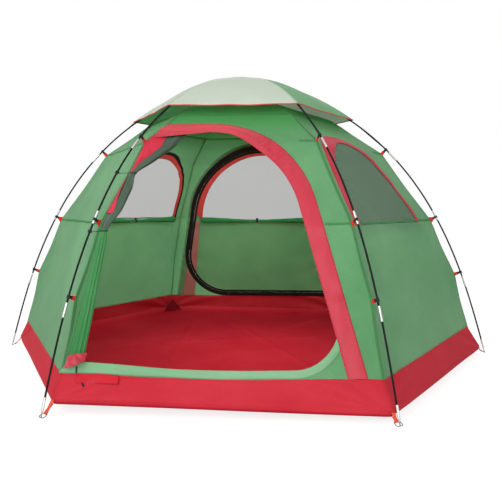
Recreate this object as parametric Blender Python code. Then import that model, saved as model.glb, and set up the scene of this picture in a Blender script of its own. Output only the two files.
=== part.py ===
"""Six-sided dome tent: a canopy of six wall panels clipped under three crossing poles.

Metres, +Z up, origin on the ground under the peak. The open front door faces -Y, and the
back half repeats the front half turned half round. Radii run from the middle to a corner.
"""

import math

import bmesh
import bpy
import numpy as np
from mathutils import Matrix, Vector
from mathutils.geometry import delaunay_2d_cdt

# Legs, counted round from the right-hand side
LEGS = ("right", "back_right", "back_left", "left", "front_left", "front_right")
SIDES = len(LEGS)
SECTOR = math.tau / SIDES
FLAT = math.cos(SECTOR / 2)
HALF_SIDE = math.tan(SECTOR / 2)

# Cloth and the gaps between neighbours
CLOTH = 0.002
NET = 0.001
GAP = 0.0003
SEAM_GAP = 0.0004
TRAY_GAP = 0.0010

# Tray-shaped floor
FLOOR_RADIUS = 1.500
FLOOR_FLAT_RADIUS = 1.360
FLOOR_EDGE_LIFT = 0.035
TRAY_TOP_RADIUS = 1.447
TRAY_TOP_HEIGHT = 0.175

# Corner seams of the canopy at the clips, the net vent, the crown where it flattens, and the peak
LOW_CLIP_RADIUS = 1.358
LOW_CLIP_HEIGHT = 0.511
MID_CLIP_RADIUS = 1.199
MID_CLIP_HEIGHT = 0.855
TOP_CLIP_RADIUS = 0.887
TOP_CLIP_HEIGHT = 1.271
VENT_MARGIN = 0.033
CROWN_RADIUS = 0.570
CROWN_RISE = 0.211
CROWN_HEIGHT = TOP_CLIP_HEIGHT + CROWN_RISE
ROOF_RISE = 0.178
ROOF_PEAK_HEIGHT = CROWN_HEIGHT + ROOF_RISE
WALL_STATIONS = (TRAY_TOP_HEIGHT, MID_CLIP_HEIGHT, TOP_CLIP_HEIGHT, CROWN_HEIGHT, ROOF_PEAK_HEIGHT)

# Poles: jointed fibreglass rods with metal ferrules and hollow metal ends
POLE_DIAMETER = 0.0095
FERRULE_DIAMETER = 0.0115
FERRULE_LENGTH = 0.070
POLE_SECTION = 0.460
POLE_STAND_OFF = 0.038
FOOT_REACH = 0.053
FOOT_HEIGHT = 0.026
POLE_PEAK_RISE = 0.052
POLE_PEAK_HEIGHT = ROOF_PEAK_HEIGHT + POLE_PEAK_RISE
POLE_STACK_GAP = 0.0005
POLE_SIDES = 8
POLE_STEP = 0.110
POLE_FINENESS = 60
SOCKET_DIAMETER = 0.0056
SOCKET_DEPTH = 0.020

# Clips: a hook round the pole on a webbing tab from the seam
CLIP_LENGTH = 0.016
CLIP_WALL = 0.0026
CLIP_CLEARANCE = 0.0004
TAB_THICKNESS = 0.0016
TAB_WIDTH = 0.024
TAB_SINK = 0.0009
MID_TAB_WIDTH = 0.062
HOOK_STEPS = 9

# Foot pins with their rings, and the webbing that ties them to the tray
PIN_DIAMETER = 0.0048
PIN_REACH = 0.017
PIN_DROP = 0.018
RING_WIRE = 0.004
RING_WIDTH = 0.034
RING_DEPTH = 0.026
RING_CORNER = 0.007
RING_SIDES = 6
PIN_SIDES = 8
STRAP_WIDTH = 0.016
STRAP_WALL = 0.0018
STRAP_CLEARANCE = 0.0004
STRAP_SINK = 0.006

# Rain cap and its elastic ties
CAP_RADIUS = 0.705
CAP_POLE_GAP = 0.0010
CAP_RINGS = 10
CAP_STEPS = 2
TIE_DIAMETER = 0.0026
TIE_SET_IN = 0.014
TIE_POINTS = 9

# Door opening: sill, slanted zip side, arched top, and a hinge side along the seam
SILL_HEIGHT = 0.200
DOOR_TOP_RISE = 0.074
DOOR_TOP_HEIGHT = TOP_CLIP_HEIGHT + DOOR_TOP_RISE
DOOR_ZIP_FOOT = 0.612
DOOR_ZIP_TOP = 0.335
DOOR_ARCH_RADIUS = 0.550
DOOR_FOOT_RADIUS = 0.250
DOOR_HINGE_INSET = 0.012
DOOR_NET_CORNER_RADIUS = 0.020
ZIP_WIDTH = 0.010
DOOR_CLEARANCE = 0.004
HINGE_CLEARANCE = 0.0005
BAND_INSIDE = 0.050
BAND_OUTSIDE = 0.036
REAR_BAND_WIDTH = 0.065
BAND_CLEARANCE = 0.004

# Net window of the rear door
DOOR_NET_RISE = 0.025
DOOR_NET_FOOT = MID_CLIP_HEIGHT + DOOR_NET_RISE
DOOR_NET_MARGIN = 0.080
DOOR_NET_TOP_MARGIN = 0.055
DOOR_NET_ARCH_SHARE = 0.96

# Side windows, in the upper half of the panels beside the doors
WINDOW_FOOT_RISE = 0.017
WINDOW_TOP_RISE = 0.027
WINDOW_FOOT = MID_CLIP_HEIGHT + WINDOW_FOOT_RISE
WINDOW_TOP = TOP_CLIP_HEIGHT + WINDOW_TOP_RISE
WINDOW_SEAM_INSET = 0.100
WINDOW_FAR_FOOT = 0.350
WINDOW_FAR_TOP = 0.265
WINDOW_ARCH_SHARE = 0.84
TRIM_WIDTH = 0.026
NET_LAP = 0.012

# Rolled window flaps
FLAP_ROLL_RADIUS = 0.020
FLAP_ROLL_DROP = 0.034
FLAP_ROLL_SAG = 0.010
FLAP_HANG_POINTS = 3
FLAP_STEPS = 16
FLAP_SIDES = 12
FLAP_END_SHARE = 0.72
FLAP_END_SLOPE = 8

# Front door, rolled to its hinge side, tied twice, and hanging in pleats below. Each line gives
# shares: of the door's height, of the reach for near and far edge, of the depth, and set back
ROLL_REACH = 0.160
ROLL_DEPTH = 0.060
ROLL_CLEARANCE = 0.0005
ROLL_STATIONS = (
    (0.026, 0.00, 0.50, 0.83, 0.00),
    (0.227, 0.00, 0.36, 0.92, 0.00),
    (0.437, 0.00, 0.21, 0.83, 0.00),
    (0.541, 0.00, 0.14, 0.50, 0.00),
    (0.620, 0.00, 0.33, 1.00, 0.00),
    (0.725, 0.00, 0.28, 0.92, 0.00),
    (0.790, 0.00, 0.16, 0.50, 0.00),
    (0.838, 0.09, 0.53, 1.00, 0.20),
    (0.917, 0.47, 1.00, 1.03, 0.56),
    (0.980, 0.34, 0.97, 0.83, 0.56),
)
ROLL_PLEATS = 6
ROLL_PLEAT_SHARE = 0.16
ROLL_TWIST = 2.0
ROLL_STEPS = 36
ROLL_SIDES = 18

# Zip sliders and their pullers
SLIDER_LENGTH = 0.018
SLIDER_WIDTH = 0.013
SLIDER_NOSE_WIDTH = 0.009
SLIDER_THICKNESS = 0.005
LUG_WIDTH = 0.005
LUG_CAP = 0.0008
PULLER_LENGTH = 0.030
PULLER_TIP_WIDTH = 0.006
PULLER_EYE_LENGTH = 0.0075
PULLER_PIVOT_RISE = 0.004
PULLER_THICKNESS = 0.0018
PULLER_CLEARANCE = 0.0004
FRONT_SLIDER_X = -0.650
REAR_SLIDER_X = 0.220

# Fineness of rounded outlines and of the panels' surface
ARC_STEP = math.radians(9)
ROW_STEP = 0.125
COLUMN_STEP = 0.24
POINT_MARGIN = 0.035

# How soon the pull of the low clips fades inwards from a seam
PULL_FADE = 4


def clear_scene():
    """Take away what the file opened with."""
    for thing in list(bpy.data.objects):
        bpy.data.objects.remove(thing, do_unlink=True)


def finish(name, colour, roughness, metallic=0.0):
    """Make a plain material."""
    material = bpy.data.materials.new(name)
    material.use_nodes = True
    shader = material.node_tree.nodes["Principled BSDF"]
    shader.inputs["Base Color"].default_value = (*colour, 1.0)
    shader.inputs["Roughness"].default_value = roughness
    shader.inputs["Metallic"].default_value = metallic
    return material


def add_mesh(name, material, points, faces, smooth=False):
    """Add one named object from points and faces."""
    mesh = bpy.data.meshes.new(name)
    mesh.from_pydata([tuple(point) for point in points], [], faces)
    mesh.update()
    if smooth:
        mesh.shade_smooth()
        mesh.set_sharp_from_angle(angle=math.radians(40))
    mesh.materials.append(material)
    thing = bpy.data.objects.new(name, mesh)
    bpy.context.collection.objects.link(thing)
    return thing


def turned(points, sectors):
    """Turn points round Z by a number of sectors."""
    turn = np.array(Matrix.Rotation(sectors * SECTOR, 3, "Z"))
    return np.asarray(points, float) @ turn.T


def leg_frame(leg):
    """Outward and sideways directions of a leg's upright plane."""
    angle = LEGS.index(leg) * SECTOR
    out = Vector((math.cos(angle), math.sin(angle), 0))
    return out, Vector((-out.y, out.x, 0))


def in_leg_plane(leg, radius, height):
    """Point at a radius and height over a leg."""
    out, _ = leg_frame(leg)
    return out * radius + Vector((0, 0, height))


# Wall surface: a bent sheet, straight across, drawn out at the seams by the low clips


def wall_section(offset):
    """Heights up the wall, and its depth and height there when moved out with mitred bends."""
    radii = np.array([TRAY_TOP_RADIUS, MID_CLIP_RADIUS, TOP_CLIP_RADIUS, CROWN_RADIUS, 0.0])
    heights = np.array(WALL_STATIONS)
    line = np.stack([radii * FLAT, heights], axis=1)
    run = np.diff(line, axis=0)
    normals = np.stack([run[:, 1], -run[:, 0]], axis=1)
    normals /= np.linalg.norm(normals, axis=1, keepdims=True)
    before = np.vstack([normals[:1], normals])
    after = np.vstack([normals, normals[-1:]])
    mitre = (before + after) / (1 + (before * after).sum(axis=1, keepdims=True))
    moved = line + offset * mitre
    base = np.concatenate([[heights[0] - run[0, 1]], heights, [heights[-1] + run[-1, 1]]])
    moved = np.vstack([moved[0] - run[0], moved, moved[-1] + run[-1]])
    return base, moved[:, 0], moved[:, 1]


def low_clip_pull(height):
    """How far the low clips draw the seams out beyond the straight wall."""
    ends = (TRAY_TOP_HEIGHT, MID_CLIP_HEIGHT)
    straight = np.interp(LOW_CLIP_HEIGHT, ends, (TRAY_TOP_RADIUS, MID_CLIP_RADIUS))
    stations = (TRAY_TOP_HEIGHT, LOW_CLIP_HEIGHT, MID_CLIP_HEIGHT)
    return np.interp(height, stations, (0, LOW_CLIP_RADIUS - straight, 0)) * FLAT


def seam_half(height, offset=0.0):
    """Half the wall's width between its seams."""
    base, depths, _ = wall_section(offset)
    return (np.interp(height, base, depths) + low_clip_pull(height)) * HALF_SIDE


def hinge_edge(height):
    """Place across the wall of the door's hinge side, beside the seam, straight past the low clip."""
    stations = np.array(WALL_STATIONS)
    return np.interp(height, stations, DOOR_HINGE_INSET - seam_half(stations))


def zip_edge(height):
    """Place across the wall of the door's slanted zip side."""
    lean = (DOOR_ZIP_TOP - DOOR_ZIP_FOOT) / (DOOR_TOP_HEIGHT - SILL_HEIGHT)
    return DOOR_ZIP_FOOT + lean * (height - SILL_HEIGHT)


def pull_start(across, height):
    """Place across a door's wall where the seam's pull begins, clear of door and bands."""
    band = zip_edge(height) + REAR_BAND_WIDTH + BAND_CLEARANCE
    return np.where(across < 0, -hinge_edge(height), band)


def wall_points(across, height, offset, door=False):
    """Points on the front wall from places across and up it; the pull fades out from the seams."""
    base, depths, heights = wall_section(offset)
    half = seam_half(height, offset)
    start = pull_start(across, height) if door else 0.0
    share = np.clip((np.abs(across) - start) / (half - start), 0, 1)
    if not door:
        share = share**PULL_FADE
    depth = np.interp(height, base, depths) + low_clip_pull(height) * share
    return np.stack([across, -depth, np.interp(height, base, heights)], axis=-1)


def wall_normal(height):
    """Directions out from the front wall and up along it at a height."""
    base, depths, _ = wall_section(0.0)
    facet = np.searchsorted(base, height) - 1
    rise = Vector((0, depths[facet] - depths[facet + 1], base[facet + 1] - base[facet])).normalized()
    return Vector((0, -rise.z, rise.y)), rise


# Outlines across and up the wall


def rounded_corners(corners, insets=0.0):
    """Points round each corner (x, z, radius) of a polygon whose edges are moved in by insets."""
    spots = np.array([corner[:2] for corner in corners], float)
    count = len(spots)
    insets = np.broadcast_to(np.asarray(insets, float), count)
    run = np.roll(spots, -1, axis=0) - spots
    run /= np.linalg.norm(run, axis=1, keepdims=True)
    left = np.stack([-run[:, 1], run[:, 0]], axis=1)
    arcs = []
    for i in range(count):
        before = i - 1
        turn = run[before] @ left[i] * -1
        along = (insets[i] - insets[before] * (left[before] @ left[i])) / (run[before] @ left[i])
        spot = spots[i] + left[before] * insets[before] + run[before] * along
        angle = math.asin(max(-1.0, min(1.0, turn)))
        if run[before] @ run[i] < 0:
            angle = math.pi - angle
        radius = corners[i][2] - min(insets[before], insets[i])
        if corners[i][2] == 0 or radius <= 0:
            arcs.append(spot[None, :])
            continue
        start = spot - run[before] * radius * math.tan(angle / 2)
        steps = max(1, round(angle / ARC_STEP))
        sweep = np.linspace(0, angle, steps + 1)[:, None]
        centre = start + left[before] * radius
        arcs.append(centre + radius * (np.sin(sweep) * run[before] - np.cos(sweep) * left[before]))
    return arcs


def rounded(corners, insets=0.0):
    """Points round a whole polygon with rounded corners."""
    return np.vstack(rounded_corners(corners, insets))


def inside(points, loop):
    """Which points lie inside a closed loop."""
    ends = np.roll(loop, -1, axis=0)
    x, z = points[:, :1], points[:, 1:]
    spans = (loop[:, 1] > z) != (ends[:, 1] > z)
    rise = np.where(ends[:, 1] == loop[:, 1], 1.0, ends[:, 1] - loop[:, 1])
    crossing = loop[:, 0] + (z - loop[:, 1]) / rise * (ends[:, 0] - loop[:, 0])
    return ((x < crossing) & spans).sum(axis=1) % 2 == 1


def distance_to_loop(points, loop):
    """Distance from each point to a closed loop."""
    ends = np.roll(loop, -1, axis=0)
    run = ends - loop
    length = (run**2).sum(axis=1)
    share = np.clip(((points[:, None, :] - loop) * run).sum(axis=2) / length, 0, 1)
    return np.linalg.norm(points[:, None, :] - loop - share[:, :, None] * run, axis=2).min(axis=1)


def surface_triangles(loops, creases):
    """Triangles inside the first loop and outside the others, split along bends and creases."""
    low = loops[0].min(axis=0)
    high = loops[0].max(axis=0)
    spots = []
    edges = []
    for loop in loops:
        first = len(spots)
        spots += [tuple(point) for point in loop]
        edges += [(first + i, first + (i + 1) % len(loop)) for i in range(len(loop))]
    bends = np.array([LOW_CLIP_HEIGHT, MID_CLIP_HEIGHT, TOP_CLIP_HEIGHT])
    bends = bends[(bends > low[1]) & (bends < high[1])]
    lines = [((low[0] - POINT_MARGIN, bend), (high[0] + POINT_MARGIN, bend)) for bend in bends]
    for crease in [*creases, *lines]:
        edges.append((len(spots), len(spots) + 1))
        spots += crease
    columns = np.arange(math.ceil(low[0] / COLUMN_STEP), high[0] / COLUMN_STEP) * COLUMN_STEP
    rows = np.arange(math.ceil(low[1] / ROW_STEP), high[1] / ROW_STEP) * ROW_STEP
    rows = rows[(np.abs(rows[:, None] - bends) > POINT_MARGIN).all(axis=1)]
    rows = np.concatenate([rows, bends])
    grid = np.stack(np.meshgrid(columns, rows), axis=-1).reshape(-1, 2)
    if len(grid):
        keep = inside(grid, loops[0])
        for loop in loops:
            keep &= distance_to_loop(grid, loop) > POINT_MARGIN
        spots += [tuple(point) for point in grid[keep]]
    found = delaunay_2d_cdt([Vector(spot) for spot in spots], edges, [], 0, 1e-6)
    flat = np.array([tuple(point) for point in found[0]])
    triangles = np.array([list(face) for face in found[2]])
    middles = flat[triangles].mean(axis=1)
    keep = inside(middles, loops[0])
    for hole in loops[1:]:
        keep &= ~inside(middles, hole)
    triangles = triangles[keep]
    used, triangles = np.unique(triangles, return_inverse=True)
    return flat[used], triangles.reshape(-1, 3)


def wall_sheet(name, material, loops, inner, outer, sectors, door=False, creases=()):
    """Add a closed sheet between two offsets of a wall, bounded by loops, turned to its side."""
    flat, triangles = surface_triangles(loops, creases)
    count = len(flat)
    front = wall_points(flat[:, 0], flat[:, 1], outer, door)
    back = wall_points(flat[:, 0], flat[:, 1], inner, door)
    faces = [tuple(map(int, tri)) for tri in triangles]
    sides = {}
    for tri in faces:
        for i in range(3):
            sides[tri[i], tri[(i + 1) % 3]] = True
    rim = [(a, b) for a, b in sides if (b, a) not in sides]
    faces += [(tri[2] + count, tri[1] + count, tri[0] + count) for tri in faces[:]]
    faces += [(b, a, a + count, b + count) for a, b in rim]
    return add_mesh(name, material, turned(np.vstack([front, back]), sectors), faces)


# Swept pieces


def sweep(name, material, path, axes, sides, closed=False):
    """Add a tube along a path; axes holds the two half-width vectors of each section."""
    angles = np.arange(sides) * math.tau / sides
    first, second = axes
    rings = (
        path[:, None, :]
        + np.cos(angles)[None, :, None] * first[:, None, :]
        + np.sin(angles)[None, :, None] * second[:, None, :]
    )
    return skin(name, material, rings, closed)


def skin(name, material, rings, closed=False):
    """Add a closed surface over a stack of rings with equal point counts."""
    count, sides = rings.shape[:2]
    faces = []
    for i in range(count if closed else count - 1):
        for j in range(sides):
            below = i * sides
            above = (i + 1) % count * sides
            faces.append((below + j, below + (j + 1) % sides, above + (j + 1) % sides, above + j))
    if not closed:
        faces.append(tuple(range(sides - 1, -1, -1)))
        faces.append(tuple(range((count - 1) * sides, count * sides)))
    return add_mesh(name, material, rings.reshape(-1, 3), faces, smooth=True)


def smooth_through(points, steps):
    """Points on a natural cubic spline through given points, with steps to each span."""
    points = np.asarray(points, float)
    knots = np.concatenate([[0], np.cumsum(np.linalg.norm(np.diff(points, axis=0), axis=1))])
    span = np.diff(knots)
    count = len(points)
    matrix = np.eye(count)
    right = np.zeros_like(points)
    for i in range(1, count - 1):
        matrix[i, i - 1 : i + 2] = span[i - 1], 2 * (span[i - 1] + span[i]), span[i]
        slope_in = (points[i] - points[i - 1]) / span[i - 1]
        slope_out = (points[i + 1] - points[i]) / span[i]
        right[i] = 6 * (slope_out - slope_in)
    bend = np.linalg.solve(matrix, right)
    out = []
    for i in range(count - 1):
        share = np.arange(steps) / steps * span[i]
        rest = span[i] - share
        share, rest = share[:, None], rest[:, None]
        out.append(
            (bend[i] * rest**3 + bend[i + 1] * share**3) / (6 * span[i])
            + (points[i] / span[i] - bend[i] * span[i] / 6) * rest
            + (points[i + 1] / span[i] - bend[i + 1] * span[i] / 6) * share
        )
    return np.vstack(out + [points[-1:]])


def along(line, places):
    """Points and tangents at distances along a fine line."""
    lengths = line_lengths(line)
    spots = np.stack([np.interp(places, lengths, line[:, k]) for k in range(line.shape[1])], axis=1)
    slopes = np.gradient(line, lengths, axis=0)
    tangents = np.stack([np.interp(places, lengths, slopes[:, k]) for k in range(line.shape[1])], axis=1)
    return spots, tangents / np.linalg.norm(tangents, axis=1, keepdims=True)


# Poles


def seam_line():
    """Radius and height along a corner seam, from the tray to the peak."""
    radii = (TRAY_TOP_RADIUS, LOW_CLIP_RADIUS, MID_CLIP_RADIUS, TOP_CLIP_RADIUS, CROWN_RADIUS, 0.0)
    heights = (TRAY_TOP_HEIGHT, LOW_CLIP_HEIGHT, *WALL_STATIONS[1:])
    return np.stack([radii, heights], axis=1)


def seam_leans():
    """Outward directions of a corner seam at its clips."""
    run = np.diff(seam_line(), axis=0)
    normals = np.stack([run[:, 1], -run[:, 0]], axis=1)
    normals /= np.linalg.norm(normals, axis=1, keepdims=True)
    leans = normals[:3] + normals[1:4]
    return leans / np.linalg.norm(leans, axis=1, keepdims=True)


def pole_stations(peak):
    """Radius and height of a pole at its foot, its clips, its peak and down again."""
    clips = seam_line()[1:4] + POLE_STAND_OFF * seam_leans()
    half = np.vstack([[FLOOR_RADIUS + FOOT_REACH, FOOT_HEIGHT], clips])
    return np.vstack([half, [0.0, peak], half[::-1] * (-1, 1)])


def pole_line(peak):
    """Fine line of a pole in its upright plane."""
    return smooth_through(pole_stations(peak), POLE_FINENESS)


def line_lengths(line):
    """Distance along a fine line at each of its points."""
    return np.concatenate([[0], np.cumsum(np.linalg.norm(np.diff(line, axis=0), axis=1))])


def pole_peak(order):
    """Height of a pole's middle at the crossing, where the poles lie on each other."""
    return POLE_PEAK_HEIGHT + order * (POLE_DIAMETER + POLE_STACK_GAP)


def pole_stops(line):
    """Places and radii along a pole, from the bottom of one hollow end to the other."""
    lengths = line_lengths(line)
    length = lengths[-1]
    rod, sleeve, bore = POLE_DIAMETER / 2, FERRULE_DIAMETER / 2, SOCKET_DIAMETER / 2
    count = int((length / 2 - FERRULE_LENGTH) // POLE_SECTION)
    middles = [POLE_SECTION * (i + 1) for i in range(count)]
    middles += [length - middle for middle in reversed(middles)]
    edges = [0.0, FERRULE_LENGTH]
    for middle in middles:
        edges += [middle - FERRULE_LENGTH / 2, middle + FERRULE_LENGTH / 2]
    edges += [length - FERRULE_LENGTH, length]
    clips = lengths[POLE_FINENESS :: POLE_FINENESS]
    held = np.concatenate([clips - CLIP_LENGTH / 2, clips + CLIP_LENGTH / 2])
    stops = [(SOCKET_DEPTH, bore), (0.0, bore)]
    for i, (start, end) in enumerate(zip(edges[:-1], edges[1:])):
        radius = rod if i % 2 else sleeve
        steps = math.ceil((end - start) / POLE_STEP)
        within = held[(held > start) & (held < end)]
        places = np.concatenate([np.linspace(start, end, steps + 1), within])
        stops += [(place, radius) for place in np.sort(places)]
    stops += [(length, bore), (length - SOCKET_DEPTH, bore)]
    return np.array(stops)


def add_pole(name, material, leg, order):
    """Add a pole over a leg and the one across from it, with ferrules and hollow ends."""
    line = pole_line(pole_peak(order))
    stops = pole_stops(line)
    radii = stops[:, 1:]
    flat, tangents = along(line, stops[:, 0])
    out, side = leg_frame(leg)
    basis = np.array([out, (0, 0, 1)])
    normals = np.stack([tangents[:, 1], -tangents[:, 0]], axis=1) @ basis
    return sweep(name, material, flat @ basis, (normals * radii, np.array(side) * radii), POLE_SIDES)


# Hooked pieces: a hook round a rod on a flat tab


def add_hook(name, material, spot, axes, bore, wall, thickness, hook_width, tab):
    """Add a hook round a rod with a flat tab.

    Axes run along the rod, out from the tab, and across both. The tab holds the middle of its
    far end, the direction of that end's edge, and its width there.
    """
    along_rod, out, across = axes
    end, edge, end_width = tab
    outer = bore + wall
    half = thickness / 2
    start = math.pi - math.asin(half / outer)
    stop = math.pi + math.asin(half / bore)
    mouth = -0.5 * math.pi
    outline = []
    for radius, first, last in ((outer, start, mouth), (bore, mouth, stop)):
        turns = np.linspace(first, last, HOOK_STEPS + 1)
        outline += [(radius * math.cos(turn), radius * math.sin(turn)) for turn in turns]
    points = []
    for level in (-0.5, 0.5):
        points += [spot + out * a + across * b + along_rod * level * hook_width for a, b in outline]
        points += [end + across * b + edge * level * end_width for b in (-half, half)]
    count = len(outline)
    total = count + 2
    faces = [tuple(range(count)), tuple(range(total + count - 1, total - 1, -1))]
    faces.append((count - 1, count, count + 1, 0))
    faces.append((total, total + count + 1, total + count, total + count - 1))
    faces += [((i + 1) % total, i, i + total, (i + 1) % total + total) for i in range(total)]
    hook = add_mesh(name, material, points, faces)
    face_outwards(hook)
    return hook


def face_outwards(thing):
    """Turn every face of a closed mesh outwards."""
    work = bmesh.new()
    work.from_mesh(thing.data)
    bmesh.ops.recalc_face_normals(work, faces=work.faces)
    work.to_mesh(thing.data)
    work.free()


def add_clips(material, leg, order):
    """Add the three clips of a leg, from the lowest up."""
    line = pole_line(pole_peak(order))
    places = line_lengths(line)[POLE_FINENESS : 4 * POLE_FINENESS : POLE_FINENESS]
    spots, tangents = along(line, places)
    out, side = leg_frame(leg)
    lift = Vector((0, 0, 1))
    for level, (bend, lean) in enumerate(zip(seam_line()[1:4], seam_leans())):
        tangent = tangents[level]
        from_ferrule = abs((places[level] + POLE_SECTION / 2) % POLE_SECTION - POLE_SECTION / 2)
        rod = FERRULE_DIAMETER if from_ferrule < FERRULE_LENGTH / 2 + CLIP_LENGTH else POLE_DIAMETER
        end = bend - lean * TAB_SINK
        along_seam = out * -lean[1] + lift * lean[0]
        tab_width = MID_TAB_WIDTH if level == 1 else TAB_WIDTH
        add_hook(
            f"clip_{leg}_{level + 1}",
            material,
            in_leg_plane(leg, *spots[level]),
            (out * tangent[0] + lift * tangent[1], out * tangent[1] - lift * tangent[0], side),
            rod / 2 + CLIP_CLEARANCE,
            CLIP_WALL,
            TAB_THICKNESS,
            CLIP_LENGTH,
            (in_leg_plane(leg, *end), along_seam, tab_width),
        )


# Feet


def foot_places(leg):
    """Pole end, its direction, the ring's near side, and the direction from ring to tray."""
    line = pole_line(pole_peak(0))
    down = line[0] - line[1]
    down /= np.linalg.norm(down)
    low = line[0] + down * PIN_DROP
    tie = np.array([FLOOR_RADIUS, FLOOR_EDGE_LIFT]) - low
    tie /= np.linalg.norm(tie)
    out, _ = leg_frame(leg)
    lift = Vector((0, 0, 1))
    return (
        in_leg_plane(leg, *line[0]),
        out * down[0] + lift * down[1],
        in_leg_plane(leg, *low),
        out * tie[0] + lift * tie[1],
    )


def add_foot_pin(name, material, leg):
    """Add the pin that stands in a pole's hollow end, with its ring."""
    end, down, low, tie = foot_places(leg)
    _, side = leg_frame(leg)
    half_width = RING_WIDTH / 2
    corners = [
        (-half_width, 0.0, RING_CORNER),
        (half_width, 0.0, RING_CORNER),
        (half_width, RING_DEPTH, RING_CORNER),
        (-half_width, RING_DEPTH, RING_CORNER),
    ]
    flat = np.vstack([arc[[0, len(arc) // 2, -1]] for arc in rounded_corners(corners)])
    path = np.array([low + side * x + tie * y for x, y in flat])
    ahead = np.roll(path, -1, axis=0) - np.roll(path, 1, axis=0)
    ahead /= np.linalg.norm(ahead, axis=1, keepdims=True)
    up = np.array(side.cross(tie).normalized())
    across = np.cross(ahead, up)
    wire = RING_WIRE / 2
    axes = across * wire, np.broadcast_to(up * wire, across.shape)
    ring = sweep(name, material, path, axes, RING_SIDES, closed=True)
    face_outwards(ring)
    stem = np.array([end - down * PIN_REACH, low + tie * wire * 0.5])
    first = np.array(side)
    second = np.array(down.cross(side))
    radius = PIN_DIAMETER / 2
    axes = np.tile(first * radius, (2, 1)), np.tile(second * radius, (2, 1))
    pin = sweep(f"{name}_stem", material, stem, axes, PIN_SIDES)
    face_outwards(pin)
    join(ring, pin)
    return ring


def join(thing, other):
    """Make one solid of two that overlap."""
    union = thing.modifiers.new("join", "BOOLEAN")
    union.operation = "UNION"
    union.solver = "EXACT"
    union.object = other
    other.hide_render = True
    other.display_type = "WIRE"


def add_corner_strap(material, leg):
    """Add the webbing loop from a foot ring to the tray's corner."""
    _, _, low, tie = foot_places(leg)
    _, side = leg_frame(leg)
    corner = in_leg_plane(leg, FLOOR_RADIUS, FLOOR_EDGE_LIFT)
    return add_hook(
        f"strap_{leg}",
        material,
        low + tie * RING_DEPTH,
        (side, -tie, tie.cross(side)),
        RING_WIRE / 2 + STRAP_CLEARANCE,
        STRAP_WALL,
        STRAP_WALL,
        STRAP_WIDTH,
        (corner + tie * STRAP_SINK, side, STRAP_WIDTH),
    )


# Floor, roof vent and rain cap


def corner_ring(radius, height, steps=1):
    """Points round a hexagon, with steps to each side."""
    corners = np.array([in_leg_plane(leg, radius, height) for leg in LEGS])
    sides = np.roll(corners, -1, axis=0) - corners
    share = np.arange(steps)[None, :, None] / steps
    return (corners[:, None, :] + sides[:, None, :] * share).reshape(-1, 3)


def closed_shell(name, material, top, under, rings, steps=1):
    """Add a shell from its top middle over hexagon rings to its under middle."""
    loops = np.array([corner_ring(radius, height, steps) for radius, height in rings])
    count, sides = loops.shape[:2]
    points = np.vstack([loops.reshape(-1, 3), [(0, 0, top), (0, 0, under)]])
    first, last = count * sides, count * sides + 1
    faces = []
    for j in range(sides):
        after = (j + 1) % sides
        faces.append((first, j, after))
        faces.append((last, (count - 1) * sides + after, (count - 1) * sides + j))
        for i in range(count - 1):
            inner, outer = i * sides, (i + 1) * sides
            faces.append((inner + j, outer + j, outer + after, inner + after))
    return add_mesh(name, material, points, faces)


def add_floor(material, strap_material):
    """Add the floor with its upright edge and the webbing sewn to its corners."""
    inner = CLOTH / FLAT
    rings = [
        (FLOOR_FLAT_RADIUS, CLOTH),
        (FLOOR_RADIUS - 2 * inner, FLOOR_EDGE_LIFT + CLOTH),
        (TRAY_TOP_RADIUS - inner, TRAY_TOP_HEIGHT),
        (TRAY_TOP_RADIUS, TRAY_TOP_HEIGHT),
        (FLOOR_RADIUS, FLOOR_EDGE_LIFT),
        (FLOOR_FLAT_RADIUS, 0.0),
    ]
    floor = closed_shell("floor_tray", material, CLOTH, 0.0, rings)
    for leg in LEGS:
        join(floor, add_corner_strap(strap_material, leg))
    return floor


def vent_height():
    """Height of the net vent's edge, above the band over the rear door."""
    return DOOR_TOP_HEIGHT + REAR_BAND_WIDTH + VENT_MARGIN


def add_vent(material):
    """Add the net top of the canopy, bent at the crown."""
    levels = np.array([CROWN_HEIGHT, vent_height() + GAP])
    peaks = []
    faces = []
    for offset in (0.0, -NET):
        base, depths, heights = wall_section(offset)
        peaks.append(np.interp(0.0, depths[::-1], heights[::-1]))
        radii = np.interp(levels, base, depths) / FLAT
        faces.append(np.stack([radii, np.interp(levels, base, heights)], axis=1))
    rings = [*faces[0], *faces[1][::-1]]
    return closed_shell("roof_vent", material, peaks[0], peaks[1], rings)


def cap_section(offset):
    """Radius and height along the cap over a pole, from its middle out."""
    line = pole_line(pole_peak(2))
    top = FERRULE_DIAMETER / 2 + CAP_POLE_GAP + offset
    normals = np.gradient(line, axis=0)
    normals = np.stack([normals[:, 1], -normals[:, 0]], axis=1)
    normals /= np.linalg.norm(normals, axis=1, keepdims=True)
    normals[normals[:, 1] < 0] *= -1
    raised = line + normals * top
    order = np.argsort(raised[:, 0])
    radii = CAP_RADIUS * np.arange(CAP_RINGS + 1) / CAP_RINGS
    return np.stack([radii, np.interp(radii, raised[order, 0], raised[order, 1])], axis=1)


def add_cap(material):
    """Add the rain cap over the crossing of the poles."""
    under = cap_section(0.0)
    over = cap_section(CLOTH)
    rings = [*over[1:], *under[:0:-1]]
    return closed_shell("rain_cap", material, over[0, 1], under[0, 1], rings, CAP_STEPS)


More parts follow.
